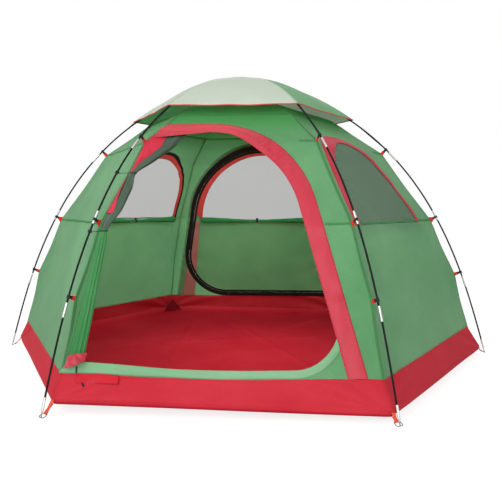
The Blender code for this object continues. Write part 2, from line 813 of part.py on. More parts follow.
def add_tie(name, material, leg):
    """Add the elastic cord from a cap corner to the top clip, beside the pole."""
    _, side = leg_frame(leg)
    cord = TIE_DIAMETER / 2
    beside = FERRULE_DIAMETER / 2 + CLIP_CLEARANCE + CLIP_WALL + GAP + cord
    under = cap_section(0.0)
    start_radius = CAP_RADIUS - TIE_SET_IN
    cap_height = np.interp(start_radius + beside * HALF_SIDE, under[:, 0], under[:, 1])
    clip = pole_stations(pole_peak(0))[3]
    start = in_leg_plane(leg, start_radius, cap_height - 2 * cord) + side * beside
    end = in_leg_plane(leg, *clip) + side * beside
    curve = bpy.data.curves.new(name, "CURVE")
    curve.dimensions = "3D"
    curve.bevel_depth = cord
    curve.bevel_resolution = 2
    curve.use_fill_caps = True
    spline = curve.splines.new("POLY")
    spline.points.add(TIE_POINTS - 1)
    for i, point in enumerate(spline.points):
        point.co = (*start.lerp(end, i / (TIE_POINTS - 1)), 1.0)
    curve.materials.append(material)
    thing = bpy.data.objects.new(name, curve)
    bpy.context.collection.objects.link(thing)
    return thing


# Walls, doors and windows


def panel_outline():
    """Outline of a wall panel, from the tray's edge to the net vent."""
    low = TRAY_TOP_HEIGHT + TRAY_GAP
    high = vent_height()
    heights = np.array([low, LOW_CLIP_HEIGHT, MID_CLIP_HEIGHT, TOP_CLIP_HEIGHT, high])
    right = np.stack([seam_half(heights, -CLOTH) - SEAM_GAP, heights], axis=1)
    return np.vstack([right, right[::-1] * (-1, 1)])


def door_corners():
    """Corners of the door opening, counted from the foot of its hinge side."""
    bends = [height for height in (TOP_CLIP_HEIGHT, MID_CLIP_HEIGHT) if height < DOOR_TOP_HEIGHT]
    return [
        (hinge_edge(SILL_HEIGHT), SILL_HEIGHT, 0.0),
        (DOOR_ZIP_FOOT, SILL_HEIGHT, DOOR_FOOT_RADIUS),
        (DOOR_ZIP_TOP, DOOR_TOP_HEIGHT, DOOR_ARCH_RADIUS),
        *[(hinge_edge(height), height, 0.0) for height in (DOOR_TOP_HEIGHT, *bends)],
    ]


def window_corners():
    """Corners of an arched side window, beside the seam of the door's panel."""
    low, high = seam_half(np.array([MID_CLIP_HEIGHT, TOP_CLIP_HEIGHT]))
    lean = (high - low) / (TOP_CLIP_HEIGHT - MID_CLIP_HEIGHT)
    arch = WINDOW_ARCH_SHARE * (WINDOW_TOP - WINDOW_FOOT)

    def seam_edge(height):
        return WINDOW_SEAM_INSET - (low + lean * (height - MID_CLIP_HEIGHT))

    return [
        (seam_edge(WINDOW_FOOT), WINDOW_FOOT, 0.0),
        (WINDOW_FAR_FOOT, WINDOW_FOOT, 0.0),
        (WINDOW_FAR_TOP, WINDOW_TOP, arch),
        (seam_edge(WINDOW_TOP), WINDOW_TOP, arch),
    ]


def trim_outline():
    """Outline of a window's trim, up one side, over the top and down the other."""
    corners = window_corners()
    sides = []
    for inset in (-TRIM_WIDTH, GAP):
        arcs = rounded_corners(corners, [0.0] + [inset] * (len(corners) - 1))
        sides.append(np.vstack([*arcs[1:], arcs[0]]))
    return np.vstack([sides[0], sides[1][::-1]])


def door_net_corners():
    """Corners of the rear door's net window."""
    top = DOOR_TOP_HEIGHT - DOOR_NET_TOP_MARGIN
    share = (DOOR_NET_FOOT - SILL_HEIGHT) / (DOOR_TOP_HEIGHT - SILL_HEIGHT)
    far_foot = DOOR_ZIP_FOOT + (DOOR_ZIP_TOP - DOOR_ZIP_FOOT) * share - DOOR_NET_MARGIN
    return [
        (hinge_edge(DOOR_NET_FOOT) + DOOR_NET_MARGIN, DOOR_NET_FOOT, DOOR_NET_CORNER_RADIUS),
        (far_foot, DOOR_NET_FOOT, DOOR_NET_CORNER_RADIUS),
        (DOOR_ZIP_TOP - DOOR_NET_MARGIN, top, DOOR_NET_ARCH_SHARE * (top - DOOR_NET_FOOT)),
        (hinge_edge(top) + DOOR_NET_MARGIN, top, DOOR_NET_CORNER_RADIUS),
    ]


def band_outline(outside, within):
    """Outline of the band over the zip, straight down to the tray on the zip side."""
    foot = TRAY_TOP_HEIGHT + TRAY_GAP
    sides = []
    for inset in (-outside, within):
        corners = door_corners()
        corners[0] = (corners[0][0], foot - inset, 0.0)
        corners[1] = (zip_edge(foot - inset), foot - inset, 0.0)
        line = np.vstack(rounded_corners(corners, inset)[1:4])
        line[-1, 0] = hinge_edge(line[-1, 1])
        sides.append(line)
    return np.vstack([sides[0], sides[1][::-1]])


def zip_outline():
    """Outline of the zip along the sill, the slanted side and the top."""
    near = rounded_corners(door_corners(), GAP)
    far = rounded_corners(door_corners(), GAP + ZIP_WIDTH)
    return np.vstack(near[:4] + [arc[::-1] for arc in far[3::-1]])


def add_flap_roll(name, material, sectors, ends, height):
    """Add a window flap rolled up along the foot of its net, hung at even places."""
    normal, rise = wall_normal(height)
    share = np.arange(FLAP_STEPS + 1) / FLAP_STEPS
    sag = FLAP_ROLL_SAG * np.sin(share * math.pi * (FLAP_HANG_POINTS - 1)) ** 2
    across = ends[0] + (ends[1] - ends[0]) * share
    set_in = CLOTH + GAP + FLAP_ROLL_RADIUS
    path = wall_points(np.zeros_like(across), np.full_like(across, height), 0.0)
    path = path - np.array(normal) * set_in - np.array(rise) * sag[:, None]
    path[:, 0] = across
    from_end = np.minimum(share, 1 - share)
    taper = FLAP_ROLL_RADIUS * np.minimum(FLAP_END_SHARE + FLAP_END_SLOPE * from_end, 1)
    first = np.array(rise) * taper[:, None]
    second = np.array(normal) * taper[:, None]
    axes = turned(first, sectors), turned(second, sectors)
    return sweep(name, material, turned(path, sectors), axes, FLAP_SIDES)


def add_door_roll(material):
    """Add the front door, rolled and tied above and hanging in pleats below."""
    stations = np.array(ROLL_STATIONS)
    level = np.linspace(stations[0, 0], stations[-1, 0], ROLL_STEPS + 1)
    shares = [np.interp(level, stations[:, 0], column)[:, None] for column in stations[:, 1:].T]
    near, far, depth, set_back = shares
    height = SILL_HEIGHT + (DOOR_TOP_HEIGHT - SILL_HEIGHT) * level
    angles = np.arange(ROLL_SIDES) * math.tau / ROLL_SIDES
    wave = np.cos(ROLL_PLEATS * angles + ROLL_TWIST * level[:, None])
    pleat = 1 - ROLL_PLEAT_SHARE * (1 + wave) / 2
    across = ROLL_REACH * (far - near) / 2 * np.cos(angles) * pleat
    through = ROLL_DEPTH * depth / 2 * np.sin(angles) * pleat
    left = hinge_edge(height) + ROLL_CLEARANCE + ROLL_REACH * near[:, 0]
    path = wall_points(left - across.min(axis=1), height, -CLOTH / 2, True)
    path[:, 1] += ROLL_DEPTH * set_back[:, 0]
    rings = path[:, None, :] + np.stack([across, through, np.zeros_like(across)], axis=2)
    roll = skin("front_door_roll", material, rings)
    face_outwards(roll)
    return roll


def add_doors(panel, door, band, zip_finish, net):
    """Add the front and back walls with their doors."""
    opening = rounded(door_corners())
    ends = np.array([TRAY_TOP_HEIGHT, MID_CLIP_HEIGHT])
    edges = pull_start(np.ones(2), ends)
    fold = [((edges[0], ends[0]), (edges[1], ends[1]))]
    for name, sectors in (("front_panel", 0), ("back_panel", 3)):
        wall_sheet(name, panel, [panel_outline(), opening], -CLOTH, 0.0, sectors, True, fold)
    for name, sectors in (("front_zip", 0), ("rear_zip", 3)):
        wall_sheet(name, zip_finish, [zip_outline()], -CLOTH, 0.0, sectors, True)
    front_band = band_outline(BAND_OUTSIDE, BAND_INSIDE)
    wall_sheet("front_door_band", band, [front_band], GAP, GAP + CLOTH, 0, True)
    rear_band = band_outline(REAR_BAND_WIDTH, -GAP)
    wall_sheet("rear_door_band", band, [rear_band], GAP, GAP + CLOTH, 3, True)
    add_door_roll(door)
    edge = GAP + ZIP_WIDTH + DOOR_CLEARANCE
    corners = door_corners()
    leaf = rounded(corners, [edge] * 3 + [HINGE_CLEARANCE] * (len(corners) - 3))
    wall_sheet("rear_door", door, [leaf, rounded(door_net_corners())], -CLOTH, 0.0, 3, True)
    net_outline = rounded(door_net_corners(), -NET_LAP)
    wall_sheet("rear_door_net", net, [net_outline], -CLOTH - GAP - NET, -CLOTH - GAP, 3, True)
    near, far = door_net_corners()[:2]
    height = DOOR_NET_FOOT - FLAP_ROLL_DROP
    add_flap_roll("rear_door_flap", door, 3, (near[0], far[0]), height)


def add_windows(panel, trim, net, flap):
    """Add the two walls with windows, and the two plain walls."""
    opening = rounded(window_corners())
    for side, sectors in (("front_right", 1), ("back_left", 4)):
        wall_sheet(f"{side}_panel", panel, [panel_outline(), opening], -CLOTH, 0.0, sectors)
        wall_sheet(f"{side}_window_trim", trim, [trim_outline()], GAP, GAP + CLOTH, sectors)
        lap = rounded(window_corners(), -NET_LAP)
        wall_sheet(f"{side}_window_net", net, [lap], -CLOTH - GAP - NET, -CLOTH - GAP, sectors)
        near, far = window_corners()[:2]
        height = WINDOW_FOOT - FLAP_ROLL_DROP
        add_flap_roll(f"{side}_window_flap", flap, sectors, (near[0], far[0]), height)
    for side, sectors in (("back_right", 2), ("front_left", 5)):
        wall_sheet(f"{side}_panel", panel, [panel_outline()], -CLOTH, 0.0, sectors)


# Zip sliders


def add_slider(name, material, across, sectors, outside):
    """Add a zip slider on the sill, and the puller whose eye hangs on the slider's lug."""
    height = SILL_HEIGHT + GAP + ZIP_WIDTH / 2
    normal, rise = wall_normal(height)
    away = normal if outside else -normal
    right = Vector((1, 0, 0))
    face = wall_points(np.array(across), np.array(height), 0.0 if outside else -CLOTH, True)
    spot = Vector(face) + away * GAP
    half, nose = SLIDER_WIDTH / 2, SLIDER_NOSE_WIDTH / 2
    tail = SLIDER_LENGTH / 2
    plan = [(-tail, -nose), (0.0, -half), (tail, -half), (tail, half), (0.0, half), (-tail, nose)]
    body = add_prism(name, material, spot, (right, rise, away), plan, (0.0, SLIDER_THICKNESS), sectors)

    bar = PULLER_THICKNESS / 2
    level = SLIDER_THICKNESS + PULLER_CLEARANCE + bar * math.sqrt(2)
    pivot = spot + rise * PULLER_PIVOT_RISE + away * level
    lug_top = -bar - PULLER_CLEARANCE
    lug_foot = lug_top - PULLER_EYE_LENGTH + 4 * PULLER_CLEARANCE
    lug = box_plan(LUG_WIDTH / 2, lug_foot, lug_top)
    levels = (-level + SLIDER_THICKNESS / 2, bar + LUG_CAP)
    join(body, add_prism(f"{name}_lug", material, pivot, (right, rise, away), lug, levels, sectors))

    drop = -rise if outside else Vector((0, 0, -1))
    flat = right.cross(drop)
    eye_half = LUG_WIDTH / 2 + PULLER_CLEARANCE
    wide = eye_half + PULLER_THICKNESS
    eye_foot = bar + PULLER_EYE_LENGTH
    tip = PULLER_TIP_WIDTH / 2
    right_half = [(wide, -bar), (wide, eye_foot + bar), (tip, PULLER_LENGTH)]
    plan = right_half + [(-x, y) for x, y in reversed(right_half)]
    axes = (right, drop, flat)
    puller = add_prism(f"{name}_puller", material, pivot, axes, plan, (-bar, bar), sectors)
    eye = box_plan(eye_half, bar, eye_foot)
    cut(puller, add_prism(f"{name}_eye", material, pivot, axes, eye, (-2 * bar, 2 * bar), sectors))
    return body


def box_plan(half, low, high):
    """Plan of a box as wide to each side, between two ends."""
    return [(-half, low), (half, low), (half, high), (-half, high)]


def add_prism(name, material, spot, axes, plan, levels, sectors):
    """Add a straight-sided block from a plan along the first two axes, between levels of the third."""
    first, second, third = axes
    points = [spot + first * x + second * y + third * level for level in levels for x, y in plan]
    count = len(plan)
    faces = [tuple(range(count)), tuple(range(2 * count - 1, count - 1, -1))]
    faces += [(i, (i + 1) % count, (i + 1) % count + count, i + count) for i in range(count)]
    block = add_mesh(name, material, turned(points, sectors), faces)
    face_outwards(block)
    return block


def cut(thing, cutter):
    """Cut one solid out of another."""
    difference = thing.modifiers.new("cut", "BOOLEAN")
    difference.operation = "DIFFERENCE"
    difference.solver = "EXACT"
    difference.object = cutter
    cutter.hide_render = True
    cutter.display_type = "WIRE"


def main():
    """Build the whole tent."""
    clear_scene()
    green = finish("green_cloth", (0.10, 0.29, 0.12), 0.75)
    dark_green = finish("rolled_cloth", (0.07, 0.20, 0.09), 0.8)
    red = finish("red_cloth", (0.62, 0.05, 0.08), 0.7)
    band = finish("red_band", (0.68, 0.07, 0.10), 0.7)
    net = finish("net", (0.12, 0.17, 0.13), 0.9)
    black = finish("black_rod", (0.02, 0.02, 0.02), 0.4)
    plastic = finish("clip_plastic", (0.02, 0.02, 0.02), 0.5)
    webbing = finish("webbing", (0.80, 0.10, 0.06), 0.8)
    steel = finish("steel", (0.62, 0.62, 0.60), 0.3, 1.0)
    cap = finish("cap_cloth", (0.30, 0.42, 0.30), 0.6)
    elastic = finish("elastic", (0.02, 0.02, 0.02), 0.8)

    add_floor(red, webbing)
    add_doors(green, dark_green, band, plastic, net)
    add_windows(green, band, net, dark_green)
    add_vent(net)
    poles = {"pole_right_left": "right", "pole_front_left": "front_left", "pole_front_right": "front_right"}
    for order, (name, leg) in enumerate(poles.items()):
        add_pole(name, black, leg, order)
        across = LEGS[(LEGS.index(leg) + SIDES // 2) % SIDES]
        for end in (leg, across):
            add_clips(plastic, end, order)
    for leg in LEGS:
        add_foot_pin(f"foot_pin_{leg}", steel, leg)
        add_tie(f"cap_tie_{leg}", elastic, leg)
    add_cap(cap)
    add_slider("front_slider", plastic, FRONT_SLIDER_X, 0, True)
    add_slider("rear_slider", plastic, REAR_SLIDER_X, 3, False)


main()
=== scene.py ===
"""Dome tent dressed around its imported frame: cloth, poles, clips, cords, light and camera.

Metres, +Z up. The open front door faces -Y. A place on a wall is its distance across from the
wall's middle and its height; a side counts the walls round from the front one.
"""

import logging
import math
from dataclasses import dataclass
from enum import Enum

import bmesh
import bpy
import numpy as np
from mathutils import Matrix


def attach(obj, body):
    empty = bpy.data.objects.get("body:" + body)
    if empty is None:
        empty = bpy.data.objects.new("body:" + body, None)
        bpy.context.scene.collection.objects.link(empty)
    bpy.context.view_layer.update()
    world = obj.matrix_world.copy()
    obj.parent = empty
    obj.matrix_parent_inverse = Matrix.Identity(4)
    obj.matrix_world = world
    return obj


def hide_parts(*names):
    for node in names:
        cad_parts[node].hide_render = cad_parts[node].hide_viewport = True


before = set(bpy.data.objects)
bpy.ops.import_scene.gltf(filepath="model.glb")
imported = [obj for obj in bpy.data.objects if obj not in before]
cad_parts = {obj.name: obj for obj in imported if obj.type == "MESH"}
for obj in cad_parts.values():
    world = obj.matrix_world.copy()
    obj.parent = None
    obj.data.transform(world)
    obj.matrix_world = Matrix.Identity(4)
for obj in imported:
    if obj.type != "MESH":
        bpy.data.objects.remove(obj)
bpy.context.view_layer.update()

Array = np.ndarray
Piece = bpy.types.Object
Material = bpy.types.Material
Socket = bpy.types.NodeSocket
Tree = bpy.types.NodeTree
Node = bpy.types.Node
Pair = tuple[float, float]
Spot = tuple[float, float, float]
Outline = list[Spot]

LOG = logging.getLogger("tent")
LEGS = ("right", "back_right", "back_left", "left", "front_left", "front_right")
SECTOR = math.tau / len(LEGS)
FLAT = math.cos(SECTOR / 2)
HALF_SIDE = math.tan(SECTOR / 2)
UP = np.array((0.0, 0.0, 1.0))
# How far the tub's corners are lifted and drawn out, in the order of the legs
CORNER_LIFT = (0.002, 0.012, 0.020, 0.024, 0.032, 0.012)
CORNER_REACH = (0.026, 0.0, 0.0, 0.0, 0.0, 0.018)
# Thicknesses of the cloths, and how far a wall's outer face lies under the frame's
HEAVY_CLOTH = 0.0012
CLOTH = 0.0010
TAPE = 0.0009
FINE_TAPE = 0.0008
LEVEL_TAPE = 0.0007
VENT_NET = 0.0006
NET = 0.0005
WALL_LIFT = -0.0004
# Gap between a doorway's edge and its zip
ZIP_GAP = 0.0003


class Side(Enum):
    """Walls of the tent, counted round from the front."""

    FRONT = 0
    FRONT_RIGHT = 1
    BACK_RIGHT = 2
    BACK = 3
    BACK_LEFT = 4
    FRONT_LEFT = 5

    @property
    def panel(self) -> str:
        """Name of the wall's node."""
        return f"{self.name.lower()}_panel"


class Opening(Enum):
    """What a wall is cut out for."""

    NONE = "none"
    DOOR = "door"
    WINDOW = "window"


OPENINGS = dict(zip(Side, 2 * (Opening.DOOR, Opening.WINDOW, Opening.NONE)))


# Small working parts


def linear(code: str) -> tuple[float, ...]:
    """Turn a screen colour into the linear colour of a shader.

    Args:
        code: Six hexadecimal digits, two each for red, green and blue.

    Returns:
        Linear red, green and blue, and an alpha of one.
    """
    screen = np.array(list(bytes.fromhex(code))) / 255
    colour = np.where(screen <= 0.04045, screen / 12.92, ((screen + 0.055) / 1.055) ** 2.4)
    return (*map(float, colour), 1.0)


def turned(points: Array, side: float) -> Array:
    """Turn points round the tent's upright axis.

    Args:
        points: Points of a front wall.
        side: How many sixths of a turn.

    Returns:
        The turned points.
    """
    cos, sin = math.cos(side * SECTOR), math.sin(side * SECTOR)
    x, y, z = np.moveaxis(points, -1, 0)
    return np.stack([x * cos - y * sin, x * sin + y * cos, z], axis=-1)


def spots_of(*columns: Array | float) -> Array:
    """Put coordinates side by side as points."""
    return np.stack(np.broadcast_arrays(*columns), axis=-1)


def eased(place: Array, stations: tuple[float, ...], values: tuple[float, ...]) -> Array:
    """Run from value to value with a level start and end in each span (3t^2 - 2t^3).

    Args:
        place: Where the values are wanted.
        stations: Rising places of the known values.
        values: The known values.

    Returns:
        Values at the places.
    """
    stations, values = np.asarray(stations), np.asarray(values)
    span = np.clip(np.searchsorted(stations, place) - 1, 0, len(stations) - 2)
    share = np.clip((place - stations[span]) / (stations[span + 1] - stations[span]), 0, 1)
    share = share * share * (3 - 2 * share)
    return values[span] * (1 - share) + values[span + 1] * share


def unit(vectors: Array) -> Array:
    """Scale vectors to a length of one."""
    return vectors / np.linalg.norm(vectors, axis=-1, keepdims=True)


def closed(grid: Array) -> Array:
    """Repeat a grid's first column after its last."""
    return np.concatenate([grid, grid[:, :1]], axis=1)


def lengths_along(line: Array) -> Array:
    """Distance along a line of points at each of them."""
    return np.concatenate([[0.0], np.cumsum(np.linalg.norm(np.diff(line, axis=0), axis=1))])


def resampled(line: Array, count: int) -> Array:
    """Share points evenly along a line.

    Args:
        line: Points of the line.
        count: How many points are wanted.

    Returns:
        Points at equal distances, the ends kept.
    """
    places = lengths_along(line)
    wanted = np.linspace(0, places[-1], count)
    return np.stack([np.interp(wanted, places, column) for column in line.T], axis=1)


def spline(points: Array, steps: int) -> Array:
    """Carry a natural cubic through points, with steps to each span.

    Args:
        points: Points to pass through.
        steps: Points to each span.

    Returns:
        A fine line.
    """
    points = np.asarray(points, float)
    span = np.diff(lengths_along(points))
    slopes = np.diff(points, axis=0) / span[:, None]
    inner = np.diag(2 * (span[:-1] + span[1:])) + np.diag(span[1:-1], 1) + np.diag(span[1:-1], -1)
    bend = np.zeros_like(points)
    bend[1:-1] = np.linalg.solve(inner, 6 * np.diff(slopes, axis=0))
    width = span[:, None, None]
    share = np.arange(steps)[None, :, None] / steps * width
    rest = width - share
    start, end = points[:-1, None], points[1:, None]
    first, last = bend[:-1, None], bend[1:, None]
    fine = (first * rest**3 + last * share**3) / (6 * width)
    fine += (start / width - first * width / 6) * rest + (end / width - last * width / 6) * share
    return np.vstack([fine.reshape(-1, points.shape[1]), points[-1:]])


def round_corners(corners: Outline, insets: float | list[float] = 0.0) -> list[Array]:
    """Round the corners of a polygon whose edges are moved in by insets.

    Args:
        corners: Place across, height and radius of each corner.
        insets: How far each edge moves in; the edge after each corner is its own.

    Returns:
        Points of the arc at each corner, or the corner itself where it is sharp.
    """
    spots = np.array([corner[:2] for corner in corners], float)
    moves = np.broadcast_to(np.asarray(insets, float), len(spots))
    run = unit(np.roll(spots, -1, axis=0) - spots)
    left = np.stack([-run[:, 1], run[:, 0]], axis=1)
    arcs = []
    for i, (_, _, rounding) in enumerate(corners):
        turn = run[i - 1] @ left[i]
        slide = (moves[i] - moves[i - 1] * (left[i - 1] @ left[i])) / turn
        spot = spots[i] + left[i - 1] * moves[i - 1] + run[i - 1] * slide
        angle = math.asin(max(-1.0, min(1.0, -turn)))
        angle = math.pi - angle if run[i - 1] @ run[i] < 0 else angle
        radius = rounding - min(moves[i - 1], moves[i])
        if rounding == 0 or radius <= 0:
            arcs.append(spot[None, :])
            continue
        middle = spot - run[i - 1] * radius * math.tan(angle / 2) + left[i - 1] * radius
        sweep = np.linspace(0, angle, max(4, round(angle / 0.05)))[:, None]
        arcs.append(middle + radius * (np.sin(sweep) * run[i - 1] - np.cos(sweep) * left[i - 1]))
    return arcs


def middle_split(arcs: list[Array]) -> list[Array]:
    """Split a rounded outline in four sides, at the middles of its far arcs and its seam corners.

    Args:
        arcs: Arcs from the foot of the seam side round; the second and third are the far ones.

    Returns:
        Bottom, far side, top and seam side.
    """
    low, high = arcs[1:3]
    a, b = len(low) // 2, len(high) // 2
    return [
        np.vstack([arcs[0], low[: a + 1]]),
        np.vstack([low[a:], high[: b + 1]]),
        np.vstack([high[b:], arcs[3][:1]]),
        np.vstack([*arcs[3:], arcs[0]]),
    ]


def ring_between(inner: list[Array], outer: list[Array], counts: tuple[int, ...], rows: int) -> Array:
    """Join two closed outlines by straight lines, side to matching side.

    Args:
        inner: Sides of the inner outline.
        outer: Matching sides of the outer outline.
        counts: Points to each side.
        rows: Rows from the inner outline to the outer one.

    Returns:
        Rows of places across and up.
    """
    loops = [
        np.vstack([resampled(side, count + 1)[:-1] for side, count in zip(sides, counts)])
        for sides in (inner, outer)
    ]
    share = np.linspace(0, 1, rows)[:, None, None]
    return loops[0] * (1 - share) + loops[1] * share


def strip_between(near: Array, far: Array, count: int, rows: int) -> tuple[Array, Array]:
    """Fill between two lines, with cloth coordinates along and across.

    Args:
        near: One edge.
        far: The other edge.
        count: Points along.
        rows: Points across.

    Returns:
        Grid of places, and grid of cloth coordinates.
    """
    near, far = resampled(near, count), resampled(far, count)
    share = np.linspace(0, 1, rows)[None, :, None]
    grid = near[:, None] * (1 - share) + far[:, None] * share
    along = lengths_along((near + far) / 2)[:, None]
    return grid, spots_of(along, np.linalg.norm(far - near, axis=1)[:, None] * share[..., 0])


# Surfaces


@dataclass
class Surface:
    """A grid of points over two parameters.

    Attributes:
        flat: Cloth coordinates in metres, with one column more where the grid wraps.
        ends: Whether the first and the last row are closed by a face.
        finish: Which of the piece's finishes it takes, or the one that each face takes.
    """

    points: Array
    flat: Array | None = None
    wrap: bool = False
    ends: tuple[bool, bool] = (False, False)
    finish: int | Array = 0

    def quads(self, columns: int, wrap: bool) -> Array:
        """Number the corners of the grid's faces.

        Args:
            columns: Columns of the numbered grid.
            wrap: Whether the last column's neighbour is the first.

        Returns:
            Four corners for each face.
        """
        rows, width = self.points.shape[:2]
        row = np.arange(rows - 1)[:, None] * columns
        near = np.arange(width if self.wrap else width - 1)[None, :]
        far = (near + 1) % columns if wrap else near + 1
        return spots_of(row + near, row + far, row + columns + far, row + columns + near).reshape(-1, 4)

    def cloth(self) -> Array:
        """Cloth coordinates, from the lengths of the grid's lines where none are given.

        Returns:
            Grid of coordinates along and across.
        """
        if self.flat is not None:
            return self.flat
        points = closed(self.points) if self.wrap else self.points
        steps = np.diff(points, axis=1, prepend=points[:, :1]), np.diff(points, axis=0, prepend=points[:1])
        across, along = (np.cumsum(np.linalg.norm(step, axis=2), axis=1 - i) for i, step in enumerate(steps))
        return spots_of(along.mean(axis=1, keepdims=True), across)

    def area(self) -> float:
        """Area of the grid's faces.

        Returns:
            The area, in square metres.
        """
        spots = self.points.reshape(-1, 3)[self.quads(self.points.shape[1], self.wrap)]
        cross = np.cross(spots[:, 2] - spots[:, 0], spots[:, 3] - spots[:, 1])
        return float(np.linalg.norm(cross, axis=1).sum() / 2)

    def rings(self, first: int) -> list[list[int]]:
        """Corners of the faces that close the ends, counted from a first point.

        Args:
            first: Number of the grid's first point.

        Returns:
            Corners of each face.
        """
        rows, columns = self.points.shape[:2]
        ends = range(columns - 1, -1, -1), range((rows - 1) * columns, rows * columns)
        return [[first + j for j in ring] for ring, shut in zip(ends, self.ends) if shut]


def swept(path: Array, first: Array, second: Array, profile: Array) -> Array:
    """Carry a profile along a path: point = path + x * first + y * second.

    Args:
        path: Points of the path.
        first: Direction of the profile's x at each point, or at all of them.
        second: Direction of the profile's y at each point, or at all of them.
        profile: Outline of the section, or one for each point of the path.

    Returns:
        Rows of section points.
    """
    profile = np.broadcast_to(profile, (len(path), *profile.shape[-2:]))
    first, second = (np.broadcast_to(way, path.shape)[:, None] for way in (first, second))
    return path[:, None] + profile[..., :1] * first + profile[..., 1:] * second


def bar(path: Array, first: Array, second: Array, profile: Array, finish: int | Array = 0) -> Surface:
    """Carry a profile along a path, as a skin that is closed at both ends."""
    return Surface(swept(path, first, second, profile), wrap=True, ends=(True, True), finish=finish)


def hoop(path: Array, first: Array, second: Array, profile: Array) -> Surface:
    """Carry a profile round a ring."""
    skin = swept(path, first, second, profile)
    return Surface(np.concatenate([skin, skin[:1]]), wrap=True)


def circle(count: int, radius: float = 1.0) -> Array:
    """Points round a circle."""
    angle = np.arange(count) * math.tau / count
    return radius * np.stack([np.cos(angle), np.sin(angle)], axis=1)


def rounded_bar(width: float, height: float, count: int = 16) -> Array:
    """Outline of a bar with round edges: a circle raised to a flat oval (superellipse)."""
    round_one = circle(count)
    return np.sign(round_one) * np.abs(round_one) ** 0.4 * (width / 2, height / 2)


def frames(path: Array, up: Array) -> tuple[Array, Array]:
    """Directions beside and above a path.

    Args:
        path: Points of the path.
        up: Direction that the second one keeps near to.

    Returns:
        Sideways and upward directions at each point.
    """
    ahead = unit(np.gradient(path, axis=0))
    side = unit(np.cross(ahead, np.broadcast_to(up, path.shape)))
    return side, np.cross(side, ahead)


# Finishes


class NodeKit:
    """Makes and joins shader nodes in one tree."""

    def __init__(self, tree: Tree) -> None:
        """Keep the tree."""
        self.tree = tree

    def add(self, kind: str, settings: dict | None = None, **inputs: object) -> Node:
        """Add a node with its settings and inputs.

        Args:
            kind: Node type, after its common beginning.
            settings: Attributes of the node.
            inputs: What the node is given, as fill takes it.

        Returns:
            The node.
        """
        node = self.tree.nodes.new(f"ShaderNode{kind}" if kind[:9] != "NodeGroup" else kind)
        for key, value in (settings or {}).items():
            setattr(node, key, value)
        return self.fill(node, **inputs)

    def fill(self, node: Node, **inputs: object) -> Node:
        """Give a node its inputs.

        Args:
            node: The node.
            inputs: Values or sockets by input name, with _ for a space; in0, in1 by place.

        Returns:
            The node.
        """
        for key, value in inputs.items():
            place = int(key[2:]) if key[:2] == "in" and key[2:].isdigit() else key.replace("_", " ")
            if isinstance(value, Socket):
                self.join(value, node.inputs[place])
            else:
                node.inputs[place].default_value = value
        return node

    def join(self, source: Socket, sink: Socket) -> None:
        """Link a source to a sink."""
        self.tree.links.new(source, sink)

    def math(self, operation: str, *values: object) -> Socket:
        """Add a Math node and give its result."""
        inputs = {f"in{i}": value for i, value in enumerate(values)}
        return self.add("Math", {"operation": operation}, **inputs).outputs[0]

    def mix(self, share: object, first: object, second: object, blend: str = "MIX") -> Socket:
        """Mix two colours by a share."""
        settings = {"data_type": "RGBA", "blend_type": blend}
        return self.add("Mix", settings, in0=share, in6=first, in7=second).outputs[2]

    def blend(self, share: object, first: Node, second: Node, end: str) -> None:
        """Mix two shaders by a share, into an output."""
        both = self.add("MixShader", in0=share, in1=first.outputs[0], in2=second.outputs[0])
        self.join(both.outputs[0], self.tree.nodes[end].inputs["Surface"])


def make_group(name: str, inputs: dict[str, str], outputs: tuple[str, ...]) -> tuple[NodeKit, dict, dict]:
    """Start a shader node group.

    Args:
        name: Name of the group.
        inputs: Socket type by input name.
        outputs: Names of the outputs; one named for a colour is a colour, the others are numbers.
    """
    tree = bpy.data.node_groups.new(name, "ShaderNodeTree")
    results = {key: "Color" if key == "Colour" else "Float" for key in outputs}
    for sockets, way in ((inputs, "INPUT"), (results, "OUTPUT")):
        for key, kind in sockets.items():
            tree.interface.new_socket(key, in_out=way, socket_type=f"NodeSocket{kind}")
    kit = NodeKit(tree)
    start, end = kit.add("NodeGroupInput"), kit.add("NodeGroupOutput")
    return kit, {key: start.outputs[key] for key in inputs}, {key: end.inputs[key] for key in outputs}


def weave_group() -> Tree:
    """Crossed threads with heavier ones in a square grid: height, and a shade for the grid.

    Returns:
        The group's tree.
    """
    inputs = {"Cloth": "Vector", "Pitch": "Float", "Grid": "Float"}
    kit, source, sink = make_group("woven_threads", inputs, ("Height", "Shade"))
    split = kit.add("SeparateXYZ", in0=source["Cloth"])
    waves, lines = [], []
    for axis in (0, 1):
        turns = kit.math("DIVIDE", split.outputs[axis], source["Pitch"])
        waves.append(kit.math("SINE", kit.math("MULTIPLY", turns, math.tau)))
        cells = kit.math("FRACT", kit.math("DIVIDE", split.outputs[axis], source["Grid"]))
        lines.append(kit.math("LESS_THAN", cells, 0.09))
    grid = kit.math("MAXIMUM", *lines)
    kit.join(kit.math("MULTIPLY_ADD", grid, 0.8, kit.math("MULTIPLY", *waves)), sink["Height"])
    kit.join(kit.math("MULTIPLY_ADD", grid, -0.10, 1.0), sink["Shade"])
    return kit.tree


